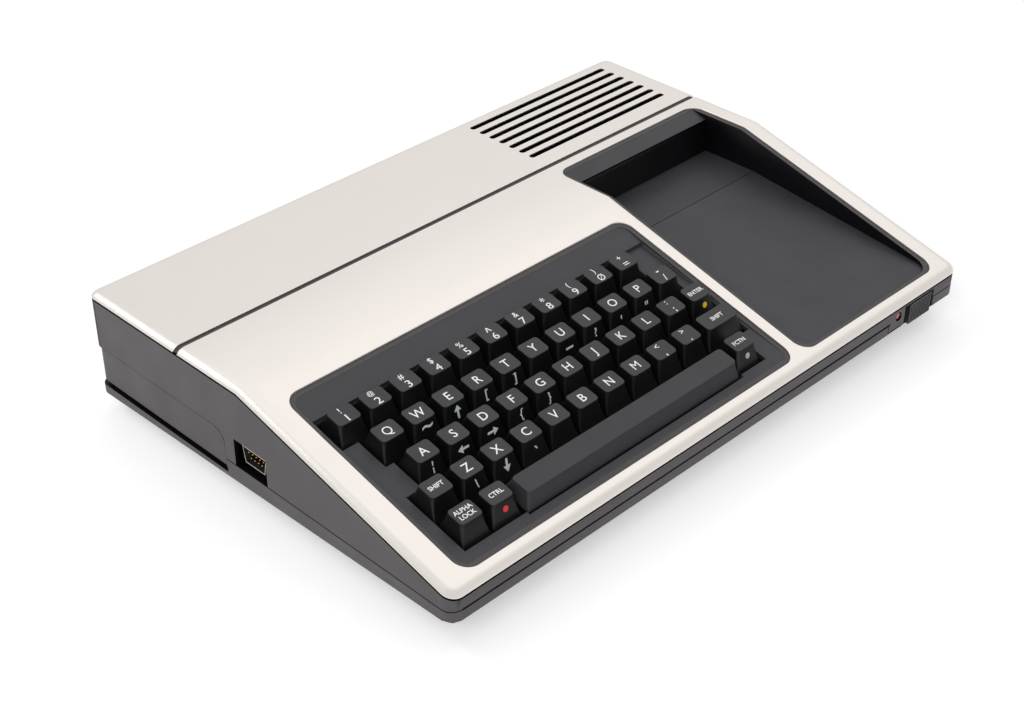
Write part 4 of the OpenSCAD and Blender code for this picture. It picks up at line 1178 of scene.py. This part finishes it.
class COMPUTER_OT_power_switch(bpy.types.Operator):
    """Makes the slide knob of the power switch with its fine upright ribs"""
    bl_idname = "computer.power_switch"
    bl_label = "Power switch"

    def execute(self, context):
        x0, x1 = KNOB_X
        z0, z1 = KNOB_Z
        face, back = KNOB_FACE_Y, KNOB_BACK_Y
        piece = box_piece(x0, x1, face, back + 0.5, z0, z1)
        piece.name = "power_knob_ribbed"
        margin = 0.6
        depth = KNOB_GROOVE_DEPTH
        step = (x1 - x0 - 2 * margin) / KNOB_GROOVES
        grooves = []
        for i in range(KNOB_GROOVES):
            x = x0 + margin + step * (i + 0.5)
            outline = np.array([(x - 0.42, face - 0.5), (x + 0.42, face - 0.5),
                                (x + 0.3, face + depth), (x - 0.3, face + depth)])
            grooves.append(prism_piece(outline, z0 + 0.7, z1 - 0.7))
        combine(piece, "DIFFERENCE", *grooves)
        middle = (x0 + x1) / 2
        flange = box_piece(x0 - 1, x1 + 7, back, back + 1.4, FLANGE_Z, z1 + 0.4)
        strip = box_piece(x0 - 7, x0, back + 0.05, back + 1.35, FLANGE_Z + 0.05, LAMP.z - 3.4)
        stem = box_piece(middle - 2, middle + 2, back + 1, FRONT_Y + 12.7,
                         FLANGE_Z + 2, FLANGE_Z + 6)
        combine(piece, "UNION", flange, strip, stem)
        round_edges(piece, 0.14, least_length=0.5)
        knob = moulded_plastic("knob_plastic", srgb(46, 44, 47), grain_mm=0.5,
                               grain_depth=0.01, roughness=0.42, mottle=0.06)
        settle(piece, "power_knob", knob, ["power_knob"])
        return {"FINISHED"}


def board_rule(centre, normal):
    """Solder mask, black housings, tinned can, red lamp and aluminium."""
    green, black, tin, red, sink = range(5)
    x, y, z = centre
    near_lamp = (centre - LAMP).length < 12 and y < LAMP.y + 6.2
    if near_lamp and abs(x - LAMP.x) < LAMP_R and abs(z - LAMP.z) < LAMP_R:
        return red
    beside_can = min(abs(x - CAN_X[0]), abs(x - CAN_X[1]),
                     abs(y - CAN_Y[0]), abs(y - CAN_Y[1])) < 1
    on_board = z > BOARD_Z + 0.01
    if on_board and z < BOARD_Z + 13.1 and x < CAN_X[1] + 1 and (beside_can or z > BOARD_Z + 6):
        return tin
    # parts on the main board, and the cartridge connector above it
    if (on_board and 0 < y < 90) or (49 < z < 61 and y > 60):
        return black
    # power board behind the switch, with its heat sink
    if x > 100 and y < FRONT_Y + 64 and z > 15.7:
        return sink if y > FRONT_Y + 40 else black
    return green


def socket_rule(centre, normal):
    """Black housings, and shells with a bare plated rim."""
    side_rim = centre.x < -HALF_W + 3.6 and normal.x < -0.3
    rear_rim = centre.y > REAR_Y - 3.9 and normal.y > 0.3 and abs(centre.x - CASSETTE_X) < 12
    return int(side_rim or rear_rim)


def pin_rings(x, z, y0, y1):
    """Rings of a round-nosed pin that lies along Y."""
    turns = np.arange(12) * 2 * math.pi / 12
    rings = []
    for y, share in ((y0, 1.0), (y1 - PIN_R, 1.0), (y1 - 0.45 * PIN_R, 0.85), (y1, 0.4)):
        rings.append(np.stack([x + PIN_R * share * np.cos(turns), np.full(12, y),
                               z + PIN_R * share * np.sin(turns)], axis=1))
    return rings[::-1]


def socket_pins(rows, length):
    """Pins of a nine-pin socket that opens towards +Y, with its flange at y = 0."""
    return joined([ring_solid(pin_rings((i - (count - 1) / 2) * PIN_PITCH, z, -0.5, length))
                   for count, z in rows for i in range(count)])


class COMPUTER_OT_boards_and_sockets(bpy.types.Operator):
    """Finishes the boards, the sockets with their pins, the can and the key frame"""
    bl_idname = "computer.boards_and_sockets"
    bl_label = "Boards and sockets"

    def execute(self, context):
        black = moulded_plastic("socket_plastic", srgb(34, 33, 36), grain_mm=0.6,
                                grain_depth=0.01, mottle=0.05)
        shell = bright_metal("socket_shell_plating", srgb(200, 196, 190), 0.3)
        gold = bright_metal("contact_gold", srgb(214, 170, 88), 0.22)
        guide = moulded_plastic("guide_plastic", srgb(52, 52, 55), mottle=0.05)
        finishes = [
            circuit_green("board_solder_mask", srgb(38, 92, 55)), black,
            bright_metal("tinned_steel", srgb(176, 176, 172), 0.35),
            lamp_plastic("lamp_red_plastic", srgb(190, 22, 20)),
            bright_metal("heat_sink_aluminium", srgb(170, 172, 176), 0.45),
        ]
        dress_node("circuit_boards", "boards_and_can", finishes, "board", least_length=1.0,
                   rule=board_rule)
        dress_node("sockets", "plug_sockets", [black, shell], "socket_black",
                   least_length=1.0, rule=socket_rule)

        points, faces = socket_pins([(5, 1.42), (4, -1.42)], 5.6)
        places = {
            "controller_pins": Matrix.Translation((-HALF_W + 9.3, JOY_Y, JOY_Z))
            @ Matrix.Rotation(math.radians(90), 4, "Z"),
            "cassette_pins": Matrix.Translation((CASSETTE_X, REAR_Y - 9.5, SOCKET_Z)),
        }
        for name, place in places.items():
            pins = add_piece(name, points, faces)
            pins.data.transform(place)
            settle(pins, "case", gold)

        dress_node("keyboard_frame", "key_guide_frame", guide, "inner_plastic", width=0)
        return {"FINISHED"}


class COMPUTER_OT_feet_and_screws(bpy.types.Operator):
    """Finishes the rubber feet and the case screws"""
    bl_idname = "computer.feet_and_screws"
    bl_label = "Feet and screws"

    def execute(self, context):
        rubber = moulded_plastic("foot_rubber_black", srgb(30, 29, 30), grain_mm=0.8,
                                 grain_depth=0.03, roughness=0.75, mottle=0.08, specular=0.3)
        steel = bright_metal("screw_steel_plating", srgb(150, 148, 145), 0.35)
        dress_node("feet", "rubber_feet", rubber, "foot_rubber", 0.5, least_length=0.2)
        dress_node("case_screws", "cross_head_screws", steel, "screw_steel", least_length=0.2)
        return {"FINISHED"}


# ---- stage

# Strength of the glow that turns the lit floor white
FLOOR_GLOW = 0.365
# Floor and camera, in metres
FLOOR_HALF = 6.0
CAMERA_PLACE = (-0.58384, -0.5616, 0.5592)
CAMERA_VIEW = (0.58307, 0.58376, -0.56502)
CAMERA_NEAR = 0.01


def seen_by(tree, *rays):
    """1 for these kinds of ray and 0 for all others."""
    kinds = add_node(tree, "LightPath").outputs
    seen = kinds[rays[0]]
    for ray in rays[1:]:
        seen = add_node(tree, "Math", {0: seen, 1: kinds[ray]}, operation="MAXIMUM").outputs[0]
    return seen


def floor_finish(colour):
    """Matt pale floor that shows as white away from shadows."""
    finish = bpy.data.materials.new("pale_floor")
    tree, output = emptied_tree(finish)
    matt = add_node(tree, "BsdfDiffuse", {"Color": (*colour, 1.0)})
    share = add_node(tree, "Math", {0: seen_by(tree, "Is Camera Ray", "Is Glossy Ray"),
                                    1: FLOOR_GLOW}, operation="MULTIPLY")
    glow = add_node(tree, "Emission", {"Strength": share.outputs[0]})
    both = add_node(tree, "AddShader", {0: matt.outputs[0], 1: glow.outputs[0]})
    feed(tree, output, {"Surface": both.outputs[0]})
    return finish


def white_world(strength):
    """Even light all round, white where a camera or a gloss looks at it."""
    world = bpy.data.worlds.new("studio")
    bpy.context.scene.world = world
    tree, output = emptied_tree(world, "World")
    seen = seen_by(tree, "Is Camera Ray", "Is Glossy Ray", "Is Transmission Ray")
    sky = add_node(tree, "Background", {"Strength": spread(tree, seen, strength, 1.0, 0.0, 1.0)})
    feed(tree, output, {"Surface": sky.outputs[0]})


def looking(direction):
    """The turn of a lamp or a camera that looks that way."""
    return Vector(direction).to_track_quat("-Z", "Y").to_euler()


def area_lamp(name, place, size, power, reflected=True):
    """A round lamp that points at the middle of the floor."""
    lamp = bpy.data.lights.new(name, "AREA")
    lamp.shape = "DISK"
    lamp.size = size
    lamp.energy = power
    holder = add_object(name, lamp)
    holder.location = place
    holder.rotation_euler = looking(-Vector(place))
    holder.visible_glossy = reflected


class COMPUTER_OT_stage(bpy.types.Operator):
    """Lays the floor and sets up the lamps, the sky and the camera"""
    bl_idname = "computer.stage"
    bl_label = "Stage"

    def execute(self, context):
        scene = context.scene
        settings = scene.computer_stage
        scene.view_settings.view_transform = "Standard"
        half = FLOOR_HALF
        mesh = bpy.data.meshes.new("floor")
        mesh.from_pydata([(-half, -half, 0), (half, -half, 0), (half, half, 0),
                          (-half, half, 0)], [], [(0, 1, 2, 3)])
        mesh.materials.append(floor_finish(settings.floor))
        floor = add_object("floor", mesh)
        white_world(settings.sky)
        # The metal would mirror the main lamp as a white patch, seen from behind.
        area_lamp("main_lamp", (-1.7, -1.1, 1.3), 1.9, settings.lamp, reflected=False)
        area_lamp("side_lamp", (-0.9, 1.3, 1.6), 0.7, settings.side_lamp)
        area_lamp("top_lamp", (0.9, 0.4, 1.9), 2.6, settings.top_lamp)
        camera = bpy.data.cameras.new("camera")
        camera.lens = settings.lens
        camera.clip_start = CAMERA_NEAR
        scene.camera = add_object("camera", camera)
        scene.camera.location = CAMERA_PLACE
        scene.camera.rotation_euler = looking(CAMERA_VIEW)
        return {"FINISHED"}


class COMPUTER_PT_panel(bpy.types.Panel):
    """Lists the settings and the pieces"""
    bl_idname = "COMPUTER_PT_panel"
    bl_label = "Home computer"
    bl_space_type = "VIEW_3D"
    bl_region_type = "UI"
    bl_category = "Computer"

    def draw(self, context):
        for name, _ in SETTINGS:
            box = self.layout.box()
            group = getattr(context.scene, name)
            for prop in group.bl_rna.properties:
                if prop.identifier not in {"rna_type", "name"}:
                    box.prop(group, prop.identifier)
        for operator in OPERATORS:
            self.layout.operator(operator.bl_idname)


SETTINGS = [
    ("computer_case", CaseSettings),
    ("computer_covers", CoverSettings),
    ("computer_keys", KeySettings),
    ("computer_stage", StageSettings),
]
OPERATORS = [
    COMPUTER_OT_stage,
    COMPUTER_OT_metal_covers,
    COMPUTER_OT_case_mouldings,
    COMPUTER_OT_key_caps,
    COMPUTER_OT_key_signs,
    COMPUTER_OT_power_switch,
    COMPUTER_OT_boards_and_sockets,
    COMPUTER_OT_feet_and_screws,
]


def register():
    for name, group in SETTINGS:
        bpy.utils.register_class(group)
        setattr(bpy.types.Scene, name, bpy.props.PointerProperty(type=group))
    for operator in OPERATORS:
        bpy.utils.register_class(operator)
    bpy.utils.register_class(COMPUTER_PT_panel)


def unregister():
    bpy.utils.unregister_class(COMPUTER_PT_panel)
    for operator in reversed(OPERATORS):
        bpy.utils.unregister_class(operator)
    for name, group in reversed(SETTINGS):
        delattr(bpy.types.Scene, name)
        bpy.utils.unregister_class(group)


def main():
    register()
    for operator in OPERATORS:
        group, name = operator.bl_idname.split(".")
        getattr(getattr(bpy.ops, group), name)()
    bpy.context.view_layer.update()


if __name__ == "__main__":
    main()
